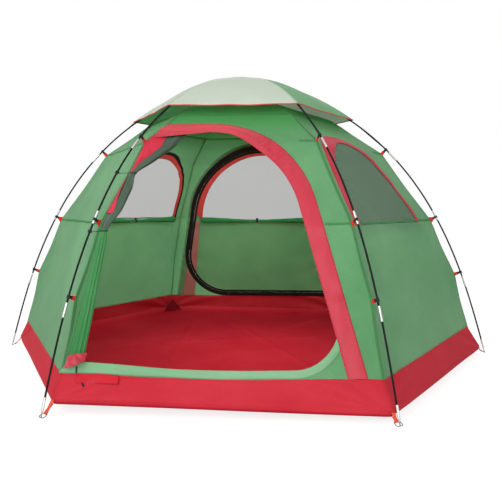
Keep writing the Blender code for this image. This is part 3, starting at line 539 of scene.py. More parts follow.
def tone_group() -> Tree:
    """Uneven dye and handling marks: a colour that drifts, and a soft crease height.

    Returns:
        The group's tree.
    """
    inputs = {"Place": "Vector", "Colour": "Color", "Faded": "Color", "Size": "Float"}
    kit, source, sink = make_group("cloth_tone", inputs, ("Colour", "Crease", "Rough"))
    place, size = source["Place"], source["Size"]
    drift = kit.add("TexNoise", Vector=place, Scale=size, Detail=3.0, Roughness=0.6)
    ramp = kit.add("MapRange", in0=drift.outputs[0], in1=0.35, in2=0.68)
    kit.join(kit.mix(ramp.outputs[0], source["Colour"], source["Faded"]), sink["Colour"])
    finer = kit.math("MULTIPLY", size, 4.5)
    fold = kit.add("TexNoise", Vector=place, Scale=finer, Detail=2.0, Distortion=1.6)
    ridge = kit.math("ABSOLUTE", kit.math("SUBTRACT", fold.outputs[0], 0.5))
    kit.join(kit.math("POWER", ridge, 0.7), sink["Crease"])
    kit.join(kit.math("MULTIPLY_ADD", drift.outputs[0], 0.16, -0.08), sink["Rough"])
    return kit.tree


def stitch_group() -> Tree:
    """A dashed row of thread along a cloth edge, with the cloth drawn in round it.

    Returns:
        The group's tree.
    """
    inputs = {"Cloth": "Vector", "Row": "Float", "Pitch": "Float", "Thread": "Float"}
    kit, source, sink = make_group("stitch_row", inputs, ("Mask", "Pucker"))
    split = kit.add("SeparateXYZ", in0=source["Cloth"])
    off = kit.math("ABSOLUTE", kit.math("SUBTRACT", split.outputs[1], source["Row"]))
    on_row = kit.math("LESS_THAN", off, source["Thread"])
    turns = kit.math("DIVIDE", split.outputs[0], source["Pitch"])
    dash = kit.math("LESS_THAN", kit.math("FRACT", turns), 0.68)
    kit.join(kit.math("MULTIPLY", on_row, dash), sink["Mask"])
    near = kit.math("EXPONENT", kit.math("MULTIPLY", off, -160.0))
    wave = kit.math("SINE", kit.math("MULTIPLY", turns, math.tau))
    kit.join(kit.math("MULTIPLY", near, wave), sink["Pucker"])
    return kit.tree


@dataclass(frozen=True)
class Finish:
    """What every finish has: a name, its screen colour, and the one where dye drifts or scuffs show."""

    name: str
    colour: str
    faded: str

    def start(self, tone: Tree, size: float) -> tuple[NodeKit, Material, Node, dict[str, Socket]]:
        """Start the material with its uneven tone.

        Args:
            tone: The shared group of the tone.
            size: Scale of the unevenness.

        Returns:
            Kit of the material's tree, the material, the node of the tone, and the sockets of places.
        """
        material = bpy.data.materials.new(self.name)
        material.use_nodes = True
        kit = NodeKit(material.node_tree)
        spot = kit.add("TexCoord").outputs
        colours = {"Colour": linear(self.colour), "Faded": linear(self.faded)}
        uneven = kit.add("Group", {"node_tree": tone}, Place=spot["Object"], Size=size, **colours)
        return kit, material, uneven, spot


@dataclass(frozen=True)
class ClothFinish(Finish):
    """Coated woven cloth or webbing.

    Attributes:
        through: Share of light that each face lets through.
        pitch: Distance between threads.
        grid: Distance between heavier threads.
        rows: Stitched rows, as distances across the cloth.
        clear: How much of the surface covers what is behind it.
        upper: Screen colour painted above the top clips for how light falls there: painted shade where the cap
            keeps the sun off the walls, a painted highlight over a band's top; none if empty.
    """

    rough: float = 0.62
    gloss: float = 0.12
    through: float = 0.0
    sheen: float = 0.04
    pitch: float = 0.0009
    grid: float = 0.0065
    rows: tuple[float, ...] = ()
    thread: str = "2A2A28"
    crease: float = 0.0018
    clear: float = 1.0
    upper: str = ""

    def build(self, groups: dict[str, Tree]) -> Material:
        """Make the material from the shared groups.

        Light that shines through passes two faces, so each takes the root of the cloth's colour.

        Args:
            groups: The shared node groups by name.

        Returns:
            The material.
        """
        kit, material, tone, spot = self.start(groups["tone"], 2.4)
        cloth, colour = spot["UV"], tone.outputs["Colour"]
        # Painted light: above the top clips the colour turns to upper, painted shade under the cap on the walls
        # and a painted highlight over a band's top
        if self.upper:
            level = kit.add("SeparateXYZ", in0=spot["Object"]).outputs[2]
            smooth = {"interpolation_type": "SMOOTHSTEP"}
            crown = kit.add("MapRange", smooth, in0=level, in1=1.27, in2=1.41)
            colour = kit.mix(crown.outputs[0], colour, linear(self.upper))
        group = {"node_tree": groups["weave"]}
        height, shade = kit.add("Group", group, Cloth=cloth, Pitch=self.pitch, Grid=self.grid).outputs
        shade = kit.add("CombineColor", in0=shade, in1=shade, in2=shade).outputs[0]
        colour = kit.mix(1.0, colour, shade, "MULTIPLY")
        crease = kit.math("MULTIPLY", tone.outputs["Crease"], self.crease)
        height = kit.math("MULTIPLY_ADD", height, 0.00004, crease)
        for row in self.rows:
            group = {"node_tree": groups["stitch"]}
            mask, pucker = kit.add("Group", group, Cloth=cloth, Row=row, Pitch=0.0042, Thread=0.0006).outputs
            colour = kit.mix(mask, colour, linear(self.thread))
            height = kit.math("MULTIPLY_ADD", pucker, 0.0003, height)
        bump = kit.add("Bump", Strength=0.7, Distance=1.0, Height=height).outputs[0]
        rough = kit.math("ADD", tone.outputs["Rough"], self.rough)
        looks = {"Sheen_Weight": self.sheen, "Specular_IOR_Level": self.gloss, "Alpha": self.clear}
        shader = kit.tree.nodes["Principled BSDF"]
        kit.fill(shader, Base_Color=colour, Roughness=rough, Normal=bump, **looks)
        if self.through:
            glow = tuple(math.sqrt(part) for part in linear(self.colour))
            back = kit.add("BsdfTranslucent", Color=glow, Normal=bump)
            kit.blend(self.through, shader, back, "Material Output")
        return material


@dataclass(frozen=True)
class HardFinish(Finish):
    """Plastic, painted rod or metal; the grain is the scale of its scuffs."""

    rough: float = 0.45
    metal: float = 0.0
    grain: float = 60.0
    gloss: float = 0.25

    def build(self, groups: dict[str, Tree]) -> Material:
        """Make the material from the shared groups.

        Args:
            groups: The shared node groups by name.

        Returns:
            The material.
        """
        kit, material, tone, _ = self.start(groups["tone"], self.grain)
        bump = kit.add("Bump", Strength=0.25, Distance=0.0006, Height=tone.outputs["Crease"])
        rough = kit.math("ADD", tone.outputs["Rough"], self.rough)
        looks = {"Metallic": self.metal, "Specular_IOR_Level": self.gloss, "Normal": bump.outputs[0]}
        shader = kit.tree.nodes["Principled BSDF"]
        kit.fill(shader, Base_Color=tone.outputs["Colour"], Roughness=rough, **looks)
        return material


WEBBING = {"pitch": 0.0024, "grid": 0.008}
MESH = {"rough": 0.8, "pitch": 0.0018, "grid": 0.0036, "crease": 0.0004}
# Its upper colour is a more saturated green painted for the shade under the cap
GREEN = ClothFinish(
    "green_cloth", "6EB07A", "88C491", gloss=0.2, through=0.5, sheen=0.2, crease=0.0032, upper="5ABC69"
)
# The rear door's green is darker than the walls', painted as the shade it stands in inside the tent
REAR_SHADE_GREEN = ClothFinish("rear_door_cloth", "68A46F", "7AB680", through=0.3)
SEAM_GREEN = ClothFinish("green_seam_tape", "7EBE88", "86C690", through=0.75, rows=(0.003,), thread="5A9A66")
SILL_GREEN = ClothFinish("pale_green_sill", "86BC8E", "98C99F", through=0.25, rows=(0.004,), thread="5E9166")
# Dark grey-green of the rolled bundles: the cloth's inside face, darkened further as painted shade between the
# rolled layers
ROLL_SHADE_GREEN = ClothFinish(
    "rolled_door_cloth_painted_shade", "384F3E", "4C6652", rough=0.42, gloss=0.4, through=0.15, crease=0.003
)
SKIRT_GREEN = ClothFinish("hanging_door_cloth", "4E9C5C", "64AE70", through=0.4, crease=0.002)
FLAP_GREEN = ClothFinish("rolled_flap_cloth", "2F8744", "3C9450", through=0.25, crease=0.003)
# Its upper colour is a paler red painted as the highlights over the band's top
BAND_RED = ClothFinish(
    "red_band_cloth",
    "BC2E3E",
    "C43848",
    rough=0.42,
    gloss=0.26,
    rows=(0.004, 0.082),
    thread="8C2032",
    upper="DA4E58",
)
REAR_RED = ClothFinish(
    "rear_band_cloth", "CE4856", "D65462", through=0.35, rows=(0.004, 0.045), thread="9C2436"
)
GUARD_BROWN = ClothFinish("rear_guard_cloth", "BE7E74", "C88A80", through=0.3, rows=(0.003,), thread="8A5048")
TRIM_RED = ClothFinish(
    "red_trim_cloth", "D83248", "E04256", through=0.15, rows=(0.003, 0.023), thread="9A2034"
)
INNER_RED = ClothFinish(
    "red_inner_trim", "E24E48", "E85C56", through=0.1, rows=(0.003, 0.025), thread="8A2020"
)
TUB_RED = ClothFinish("red_tub_cloth", "BC2030", "C42A38", gloss=0.01, sheen=0.0, crease=0.003)
TUB_SIDE = ClothFinish("red_tub_side", "C02C39", "C83642", gloss=0.03, sheen=0.0, crease=0.004)
# Dark red of the corner folds: painted shade in the crease of each corner
FOLD_SHADE_RED = ClothFinish("corner_fold_painted_shade", "701019", "7C1822", gloss=0.02, crease=0.003)
FLAP_RED = ClothFinish("red_flap_cloth", "C42232", "CC2C3A", gloss=0.04, rows=(0.003,), thread="84141F")
PATCH_RED = ClothFinish(
    "red_patch_cloth", "B8283A", "C03646", rough=0.36, gloss=0.35, rows=(0.004,), thread="A02030"
)
STRAP_RED = ClothFinish(
    "corner_webbing", "F2553C", "F56A50", rows=(0.002, 0.014), thread="C03020", **WEBBING
)
TAB_RED = ClothFinish("clip_webbing", "DC1F1F", "E53A34", rows=(0.003,), thread="8C1010", **WEBBING)
PIPING_RED = ClothFinish("cap_piping_cloth", "D8444C", "E05A60", pitch=0.0015)
# Pale cloth of four cap gores: the cap's green painted pale as sheen from the light
CAP_SHEEN_PALE = ClothFinish("sheen_painted_cap_cloth", "DAE4D5", "E2EBDE", rough=0.5, through=0.35)
CAP_GREEN = ClothFinish("green_cap_cloth", "72BA7C", "7EC488", rough=0.5, through=0.4)
VENT_GREEN = ClothFinish("roof_net_cloth", "5CC06C", "66C876", through=0.5, pitch=0.0016, clear=0.9)
ZIP_BLACK = ClothFinish(
    "zip_tape", "1A1B18", "242521", rough=0.8, gloss=0.03, pitch=0.0016, rows=(0.0025,), thread="8A6C58"
)
NET_GREY = ClothFinish("window_net", "465049", "4E5851", clear=0.32, **MESH)
NET_DARK = ClothFinish("shaded_window_net", "6A806E", "728876", clear=0.6, **MESH)
BLACK_ROD = HardFinish("black_rod", "0F1011", "1B1C1D", rough=0.5, grain=25, gloss=0.1)
SILVER = HardFinish("silver_sleeve", "D4D5D2", "BFC0BE", rough=0.28, metal=1.0, grain=40)
PIN_GREY = HardFinish("grey_pin_metal", "858785", "686A68", rough=0.42, metal=0.7)
CLIP_BLACK = HardFinish("black_clip_plastic", "18191A", "262728", rough=0.5)
PULL_BLACK = HardFinish("black_slider_metal", "1E1F20", "3A3B3C", rough=0.4, metal=0.4)
CORD_BLACK = ClothFinish("elastic_cord", "1C1D1C", "2A2B2A", rough=0.7, pitch=0.0012, grid=0.003)


# Pieces


def dress(piece: Piece, body: str, slot: str, *nodes: str) -> Piece:
    """Let a piece ride a body, and hide the nodes it stands for.

    Args:
        piece: The piece.
        body: Body that it moves with.
        slot: Material slot of the record; not used.
        nodes: Nodes that it replaces.

    Returns:
        The piece.
    """
    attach(piece, body)
    if nodes:
        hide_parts(*nodes)
    LOG.info("%s rides %s", piece.name, body)
    return piece


def placed(name: str, data: bpy.types.ID) -> Piece:
    """Put an object into the scene.

    Args:
        name: Its name.
        data: Its mesh, curve, lamp or camera.

    Returns:
        The object.
    """
    item = bpy.data.objects.new(name, data)
    bpy.context.scene.collection.objects.link(item)
    return item


def face_out(mesh: bpy.types.Mesh, skins: bool) -> None:
    """Turn faces outwards: each closed skin by itself, a sheet away from the tent's middle.

    Args:
        mesh: The mesh.
        skins: Whether it is made of closed skins.
    """
    work = bmesh.new()
    work.from_mesh(mesh)
    bmesh.ops.recalc_face_normals(work, faces=work.faces)
    if not skins:
        normals = np.array([face.normal[:] for face in work.faces])
        middles = np.array([face.calc_center_median()[:] for face in work.faces])
        if ((middles - (0, 0, 0.6)) * normals).sum() < 0:
            bmesh.ops.reverse_faces(work, faces=work.faces)
    work.to_mesh(mesh)
    work.free()


class Workshop:
    """Makes pieces; each finish is made once, when it is first asked for."""

    def __init__(self) -> None:
        """Make the shared groups."""
        self.groups = {"weave": weave_group(), "tone": tone_group(), "stitch": stitch_group()}
        self.made: dict[str, Material] = {}

    def material(self, finish: Finish) -> Material:
        """Give a finish's material.

        Args:
            finish: The finish.

        Returns:
            Its material.
        """
        if finish.name not in self.made:
            self.made[finish.name] = finish.build(self.groups)
        return self.made[finish.name]

    def piece(
        self, name: str, rides: tuple[str, ...], surfaces: list[Surface], *finishes: Finish, thickness: float = 0.0
    ) -> Piece:
        """Put surfaces into one mesh, as closed skins or as a sheet with a thickness.

        Args:
            name: Name of the piece.
            rides: Its body, its slot, and the nodes that it replaces.
            surfaces: Its grids.
            finishes: Its finishes, in the order the grids name them.
            thickness: Thickness of a sheet, or zero where the grids close by themselves.

        Returns:
            The new object.
        """
        faces, loops, marks = [], [], []
        first = 0
        for surface in surfaces:
            rows, columns = surface.points.shape[:2]
            quads, rings, flat = surface.quads(columns, surface.wrap), surface.rings(first), surface.cloth()
            faces += (quads + first).tolist() + rings
            loops.append(flat.reshape(-1, 2)[surface.quads(flat.shape[1], False)].reshape(-1, 2))
            loops += [np.zeros((columns, 2))] * len(rings)
            marks.append(np.broadcast_to(surface.finish, len(quads) + len(rings)))
            first += rows * columns
        mesh = bpy.data.meshes.new(name)
        mesh.from_pydata(np.vstack([s.points.reshape(-1, 3) for s in surfaces]).tolist(), [], faces)
        cloth = mesh.uv_layers.new(name="cloth").data
        cloth.foreach_set("uv", np.vstack(loops).astype(np.float32).ravel())
        mesh.polygons.foreach_set("material_index", np.concatenate(marks).astype(np.int32))
        mesh.polygons.foreach_set("use_smooth", np.ones(len(faces), bool))
        face_out(mesh, thickness == 0)
        for finish in finishes:
            mesh.materials.append(self.material(finish))
        piece = placed(name, mesh)
        if thickness:
            solid = piece.modifiers.new("thickness", "SOLIDIFY")
            solid.thickness = thickness
            solid.offset = -1
        else:
            mesh.set_sharp_from_angle(angle=math.radians(50))
        return dress(piece, *rides)


# Wall of the canopy


@dataclass(frozen=True)
class DoorForm:
    """Outline of a doorway: level sill, slanted zip side and arched top; its hinge is along the seam."""

    top: float
    zip_foot: float
    zip_top: float
    arch: float
    foot_arc: float
    sill: float = 0.200

    def zip_edge(self, height: Array) -> Array:
        """Place across of the slanted zip side."""
        lean = (self.zip_top - self.zip_foot) / (self.top - self.sill)
        return self.zip_foot + lean * (height - self.sill)


DOORS = {
    Side.FRONT: DoorForm(top=1.345, zip_foot=0.612, zip_top=0.291, arch=0.530, foot_arc=0.210),
    Side.BACK: DoorForm(top=1.375, zip_foot=0.625, zip_top=0.385, arch=0.600, foot_arc=0.320),
}
DOOR_COUNTS = (110, 130, 80, 130)
WINDOW_COUNTS = (90, 130, 70, 130)


@dataclass(frozen=True)
class WallForm:
    """One wall between two seams, bent at the clips; pairs are a radius at the seam and a height.

    Attributes:
        vent_edge: Height where the walls end and the net top begins.
        hinge_inset: Distance of a door's hinge side from the seam.
        droop: How far the front wall's foot hangs down at its middle.
        seam_bend: Half height of the rounded bends at the seams.
        wall_bend: The same at the wall's middle.
        bow: How far the seam bows in between its clips.
        sag: How far the cloth sags in between its seams.
        slack_levels: Heights between the clips where it sags most.
        fans: Reach of the folds that fan out from the three clips.
    """

    tray_top: Pair = (1.447, 0.175)
    low_clip: Pair = (1.358, 0.511)
    mid_clip: Pair = (1.199, 0.855)
    top_clip: Pair = (0.887, 1.271)
    crown: Pair = (0.570, 1.482)
    peak: Pair = (0.0, 1.660)
    vent_edge: float = 1.443
    hinge_inset: float = 0.012
    band_reach: float = 0.069
    droop: float = 0.015
    seam_bend: float = 0.008
    wall_bend: float = 0.040
    bow: float = 0.005
    sag: float = 0.011
    slack_levels: tuple[float, ...] = (0.5, 1.06, 1.38)
    fold: float = 0.0034
    fans: tuple[float, ...] = (0.11, 0.13, 0.10)

    def stations(self) -> Array:
        """Radii and heights of the seam where the whole wall bends."""
        return np.array([self.tray_top, self.mid_clip, self.top_clip, self.crown, self.peak])

    def depth(self, height: Array, bend: Array | float) -> Array:
        """Distance from the axis: straight spans whose bends are parabolas of a half width.

        Args:
            height: Heights up the wall.
            bend: Half width of the rounded bends.

        Returns:
            Depth of the wall's middle plane.
        """
        radii, levels = self.stations().T
        radii = radii * FLAT
        slopes = np.diff(radii) / np.diff(levels)
        depth = radii[0] + slopes[0] * (height - levels[0])
        for level, change in zip(levels[1:-1], np.diff(slopes)):
            past = height - level
            near = (np.clip(past, -bend, bend) + bend) ** 2 / (4 * bend)
            depth = depth + change * np.where(past > bend, past, near)
        return depth

    def seam_shift(self, height: Array) -> Array:
        """How far the low clips draw the seams out, less the bow of the cloth between clips.

        Args:
            height: Heights up the wall.

        Returns:
            Distances outwards.
        """
        levels = np.insert(self.stations()[:, 1], 1, self.low_clip[1])
        straight = np.interp(levels[1], levels[[0, 2]], (self.tray_top[0], self.mid_clip[0]))
        pull = np.interp(height, levels[:3], (0, self.low_clip[0] - straight, 0)) * FLAT
        span = np.clip(np.searchsorted(levels, height) - 1, 0, len(levels) - 2)
        share = np.clip((height - levels[span]) / (levels[span + 1] - levels[span]), 0, 1)
        return pull - self.bow * np.sin(math.pi * share) ** 2

    def half(self, height: Array) -> Array:
        """Half the wall's width between its seams."""
        return (self.depth(height, self.seam_bend) + self.seam_shift(height)) * HALF_SIDE

    def hinge_edge(self, height: Array) -> Array:
        """Place across of a door's hinge side, straight past the low clip."""
        radii, levels = self.stations().T
        return np.interp(height, levels, self.hinge_inset - radii * FLAT * HALF_SIDE)

    def hang(self, across: Array, height: Array) -> Array:
        """How far the front wall's foot and the tub's edge rise or hang down between the corners."""
        middle = np.cos(math.pi * across / self.tray_top[0]) ** 2
        return (0.004 - self.droop * middle) * eased(height, (0.04, 0.175, 0.22, 0.45), (0, 1, 1, 0))

    def folds(self, across: Array, height: Array, half: Array, side: int) -> Array:
        """Unevenness of stretched cloth: slow waves, and folds that fan out from the clips.

        Args:
            across: Places across.
            height: Heights.
            half: Half widths there.
            side: Number of the wall, which shifts the waves.

        Returns:
            How far the cloth stands out.
        """
        phase = 1.9 * side
        slow = np.sin(7.1 * across + 3.2 * height + phase) * np.sin(6.3 * height - 3.1 * across + 2 * phase)
        total = self.fold * slow
        for (_, level), reach in zip((self.low_clip, self.mid_clip, self.top_clip), self.fans):
            for hand in (-1, 1):
                inward = self.half(level) - hand * across
                rise = height - level
                far = np.hypot(inward, rise) / reach
                fan = np.cos(10 * np.arctan2(rise, inward) + phase + hand)
                total = total + self.fold * fan * far * np.exp(1 - far)
        return total * (1 - np.clip(np.abs(across) / half, 0, 1) ** 4)

    def points(
        self, across: Array, height: Array, offset: Array | float = 0.0, side: Side = Side.FRONT
    ) -> Array:
        """Points of a wall: depth from its bends, less the sag between seams, plus clip pull and folds.

        Args:
            across: Places across.
            height: Heights.
            offset: How far out from the cloth.
            side: Which wall.

        Returns:
            Points in the tent's frame.
        """
        half = self.half(height)
        share = np.clip(np.abs(across) / half, 0, 1)
        bend = self.wall_bend + (self.seam_bend - self.wall_bend) * share**2
        levels = np.insert(self.stations()[:, 1], (1, 2, 3), self.slack_levels)
        slack = eased(height, levels, (0.0, 1.0, 0.45, 0.9, 0.45, 0.7, 0.4, 0.0))
        if side in DOORS:
            far = DOORS[side].zip_edge(height) + self.band_reach
            start = np.where(across < 0, -self.hinge_edge(height), far)
            drawn = np.clip((np.abs(across) - start) / np.maximum(half - start, 0.004), 0, 1) ** 1.3
        else:
            drawn = share**4
        out = self.seam_shift(height) * drawn - self.sag * slack * (1 - share**2)
        out = out + self.folds(across, height, half, side.value) * np.clip((height - 0.2) / 0.1, 0, 1)
        slope = (self.depth(height + 0.002, bend) - self.depth(height - 0.002, bend)) / 0.004
        lean = np.sqrt(1 + slope**2)
        rise = height - slope * offset / lean
        if side is Side.FRONT:
            rise = rise + self.hang(across, height)
        return turned(spots_of(across, -(self.depth(height, bend) + out + offset / lean), rise), side.value)

    def laid(self, grid: Array, flat: Array, lift: Array | float, side: Side, wrap: bool = False) -> Surface:
        """Lay a grid of places on a wall, a little over or under its face."""
        return Surface(self.points(grid[..., 0], grid[..., 1], lift, side), flat, wrap)

    def door_corners(self, side: Side) -> Outline:
        """Corners of a door opening, from the foot of its hinge side round.

        Args:
            side: Which door.

        Returns:
            Corners with their radii.
        """
        door = DOORS[side]
        bends = (door.top, self.top_clip[1], self.mid_clip[1])
        return [
            (float(self.hinge_edge(door.sill)), door.sill, 0.0),
            (door.zip_foot, door.sill, door.foot_arc),
            (door.zip_top, door.top, door.arch),
            *[(float(self.hinge_edge(level)), level, 0.0) for level in bends],
        ]

    def door_line(self, side: Side, inset: float) -> Array:
        """Edge of a door moved in: along the sill, up the zip side and over the top to the hinge."""
        return np.vstack(round_corners(self.door_corners(side), inset)[:4])

    def band_line(self, side: Side, inset: float) -> Array:
        """Edge of a door's band from the tub up the zip side and over the top to the hinge.

        Args:
            side: Which door's band.
            inset: How far it is moved in.

        Returns:
            Points of the line.
        """
        foot = self.tray_top[1] + 0.001 - inset
        corners = self.door_corners(side)
        corners[0] = (corners[0][0], foot, 0.0)
        corners[1] = (float(DOORS[side].zip_edge(foot)), foot, 0.0)
        line = np.vstack(round_corners(corners, inset)[1:4])
        line[-1, 0] = self.hinge_edge(line[-1, 1])
        return line

    def edge_sides(self) -> list[Array]:
        """Bottom, right, top and left edges of the wall, counter-clockwise.

        Returns:
            Four lines of places.
        """
        level = np.linspace(self.tray_top[1], self.vent_edge, 200)
        right = np.stack([self.half(level), level], axis=1)
        left = right[::-1] * (-1, 1)
        return [np.stack([left[-1], right[0]]), right, np.stack([right[-1], left[0]]), left]


WALL = WallForm()


@dataclass
class Canopy:
    """The six walls with their seam tapes; a run is a length laid flat, and a cut a flat size."""

    shop: Workshop
    tape: float = 0.009
    level_tape: float = 0.011
    tape_run: float = 1.36
    door_run: float = 3.2
    panel_cut: Pair = (1.46, 1.42)

    def grid(self, side: Side) -> tuple[Array, bool]:
        """Places over a wall, round its opening where it has one.

        Args:
            side: Which wall.

        Returns:
            Grid of places, and whether it runs round.
        """
        edges = WALL.edge_sides()
        if OPENINGS[side] is Opening.DOOR:
            sides = middle_split(round_corners(WALL.door_corners(side)))
            return ring_between(sides, edges, DOOR_COUNTS, 26), True
        if OPENINGS[side] is Opening.WINDOW:
            sides = middle_split(round_corners(Window(self.shop, side).corners()))
            return ring_between(sides, edges, WINDOW_COUNTS, 48), True
        level = np.linspace(WALL.tray_top[1], WALL.vent_edge, 130)[:, None]
        return spots_of(np.linspace(-1, 1, 110)[None, :] * WALL.half(level), level), False

    def build(self) -> None:
        """Make the walls and the tapes over their seams."""
        for side in Side:
            grid, wrap = self.grid(side)
            surface = WALL.laid(grid, closed(grid) if wrap else grid, WALL_LIFT, side, wrap)
            rides = ("tent", "green_cloth", side.panel)
            wall = self.shop.piece(f"{side.panel}_cloth", rides, [surface], GREEN, thickness=CLOTH)
            area = surface.area()
        for number, leg in enumerate(LEGS):
            self.seam(number, leg)
        self.cross_seams()

    def seam(self, number: int, leg: str) -> None:
        """Lay a tape along both sides of a corner seam.

        Args:
            number: Number of the leg.
            leg: Its name.
        """
        surfaces = []
        level = np.linspace(WALL.tray_top[1] + 0.004, WALL.vent_edge + 0.004, 160)[:, None]
        place = np.linspace(0, 1, 6)[None, :]
        for step, hand in ((2, -1), (1, 1)):
            side = Side((number + step) % 6)
            width = 0.010 if OPENINGS[side] is Opening.DOOR and hand < 0 else self.tape
            lift = 0.0005 + 0.0007 * np.sin(math.pi * place) ** 0.5
            grid = spots_of(hand * (WALL.half(level) - place * width), level)
            surfaces.append(WALL.laid(grid, spots_of(level, place * width), lift, side))
        rides = ("tent", "green_cloth")
        tape = self.shop.piece(f"seam_tape_{leg}", rides, surfaces, SEAM_GREEN, thickness=FINE_TAPE)

    def cross_seams(self) -> None:
        """Lay the level tapes at the clips, where no opening is in the way."""
        surfaces = []
        place = np.linspace(0, 1, 5)[None, :]
        for side in Side:
            for level in (WALL.mid_clip[1], WALL.top_clip[1]):
                half = float(WALL.half(level)) - self.tape
                start = -half
                if side in DOORS:
                    start = float(DOORS[side].zip_edge(level)) + 0.045
                elif OPENINGS[side] is Opening.WINDOW and level > 1:
                    start = 0.335
                across = np.linspace(start, half, 120)[:, None]
                height = level - 0.006 + self.level_tape * place + 0.0012 * np.sin(23 * across)
                lift = 0.0004 + 0.0006 * np.sin(math.pi * place) ** 0.5
                flat = spots_of(across, self.level_tape * place)
                surfaces.append(WALL.laid(spots_of(across, height), flat, lift, side))
        rides = ("tent", "green_cloth")
        tapes = self.shop.piece("level_seam_tapes", rides, surfaces, SEAM_GREEN, thickness=LEVEL_TAPE)
        length = sum(surface.area() for surface in surfaces) / self.level_tape


@dataclass
class Window:
    """A side window: outline, net, rolled flap, and the trim and lap that reach outside its outline."""

    shop: Workshop
    side: Side
    foot: float = 0.846
    top: float = 1.298
    seam_inset: float = 0.100
    far_foot: float = 0.350
    far_top: float = 0.265
    arch_share: float = 0.84
    trim: float = 0.030
    lap: float = 0.012

    def seam_edge(self, height: float) -> float:
        """Place across of the side beside the seam, in line with the two upper clips.

        Args:
            height: Height of the place.

        Returns:
            The place.
        """
        low, high = WALL.mid_clip, WALL.top_clip
        share = (height - low[1]) / (high[1] - low[1])
        return self.seam_inset - (low[0] + share * (high[0] - low[0])) * FLAT * HALF_SIDE

    def corners(self) -> Outline:
        """Corners of the window, from the foot of its seam side round.

        Returns:
            Corners with their radii.
        """
        arch = self.arch_share * (self.top - self.foot)
        return [
            (self.seam_edge(self.foot), self.foot, 0.0),
            (self.far_foot, self.foot, 0.0),
            (self.far_top, self.top, arch),
            (self.seam_edge(self.top), self.top, arch),
        ]

    def line(self, inset: float, spread: float = 0.0) -> Array:
        """Line up the far side, over the top and down the seam side.

        Args:
            inset: How far it is moved in.
            spread: Share by which its seam side is drawn out towards the seam.

        Returns:
            Points of the line.
        """
        arcs = round_corners(self.corners(), [0.0] + [inset] * 3)
        line = resampled(np.vstack([*arcs[1:], arcs[0]]), 420)
        drawn = spread * eased(-line[:, 0], (0.05, 0.34), (0.0, 1.0))
        line[:, 0] += drawn * (0.040 - WALL.half(line[:, 1]) - line[:, 0])
        return line

    def build(self) -> None:
        """Make the trim, the zip and trim inside, the net and the flap; the near window is shaded."""
        name = f"{self.side.name.lower()}_window"
        near = self.side is Side.FRONT_RIGHT
        bands = (
            ("trim_cloth", TRIM_RED, (-self.trim, 0.004), (0.0005, 0.0008), ("red_band", f"{name}_trim")),
            ("inner_trim", INNER_RED, (-0.020, 0.010), (-0.0040, -0.0040), ("red_band",)),
            ("inner_zip", ZIP_BLACK, (-0.036, -0.0185), (-0.0042, -0.0042), ("clip_plastic",)),
        )
        for label, finish, (outside, inside), lifts, slots in bands:
            outer = self.line(outside, float(near and finish is TRIM_RED))
            grid, flat = strip_between(outer, self.line(inside), 420, 8)
            surface = WALL.laid(grid, flat, np.linspace(*lifts, 8)[None, :], self.side)
            band = self.shop.piece(f"{name}_{label}", ("tent", *slots), [surface], finish, thickness=TAPE)
        arcs = round_corners(self.corners(), -self.lap)
        net_piece(self.shop, NET_DARK if near else NET_GREY, f"{name}_net", arcs, self.side, "tent")
        FlapRoll(self.side, self.seam_edge(self.foot), self.far_foot, self.foot).build(
            self.shop, f"{name}_flap", "tent"
        )


def net_piece(shop: Workshop, finish: Finish, node: str, arcs: list[Array], side: Side, body: str) -> None:
    """Stretch a net inside an outline: rows from its foot up, each from edge to edge.

    Args:
        shop: The workshop.
        finish: Its finish.
        node: Node that it stands for.
        arcs: Arcs of the outline from the foot of the seam side round.
        side: Which wall.
        body: Body that it moves with.
    """
    right = np.vstack(arcs[1:3])
    left = np.vstack([*arcs[3:], arcs[0]])[::-1]
    share = np.sin(np.linspace(0, math.pi / 2, 90))
    level = (right[0, 1] + (right[-1, 1] - 0.0004 - right[0, 1]) * share)[:, None]
    near, far = (np.interp(level, line[:, 1], line[:, 0]) for line in (left, right))
    grid = spots_of(near + (far - near) * np.linspace(0, 1, 80)[None, :], level)
    surface = WALL.laid(grid, grid, -0.0026, side)
    net = shop.piece(f"{node}_cloth", (body, "net", node), [surface], finish, thickness=NET)
    box = np.ptp(grid[..., 0]), float(np.ptp(grid[..., 1])) * 1.15
    area = min(max(surface.area(), 0.31 * box[0] * box[1]), box[0] * box[1])


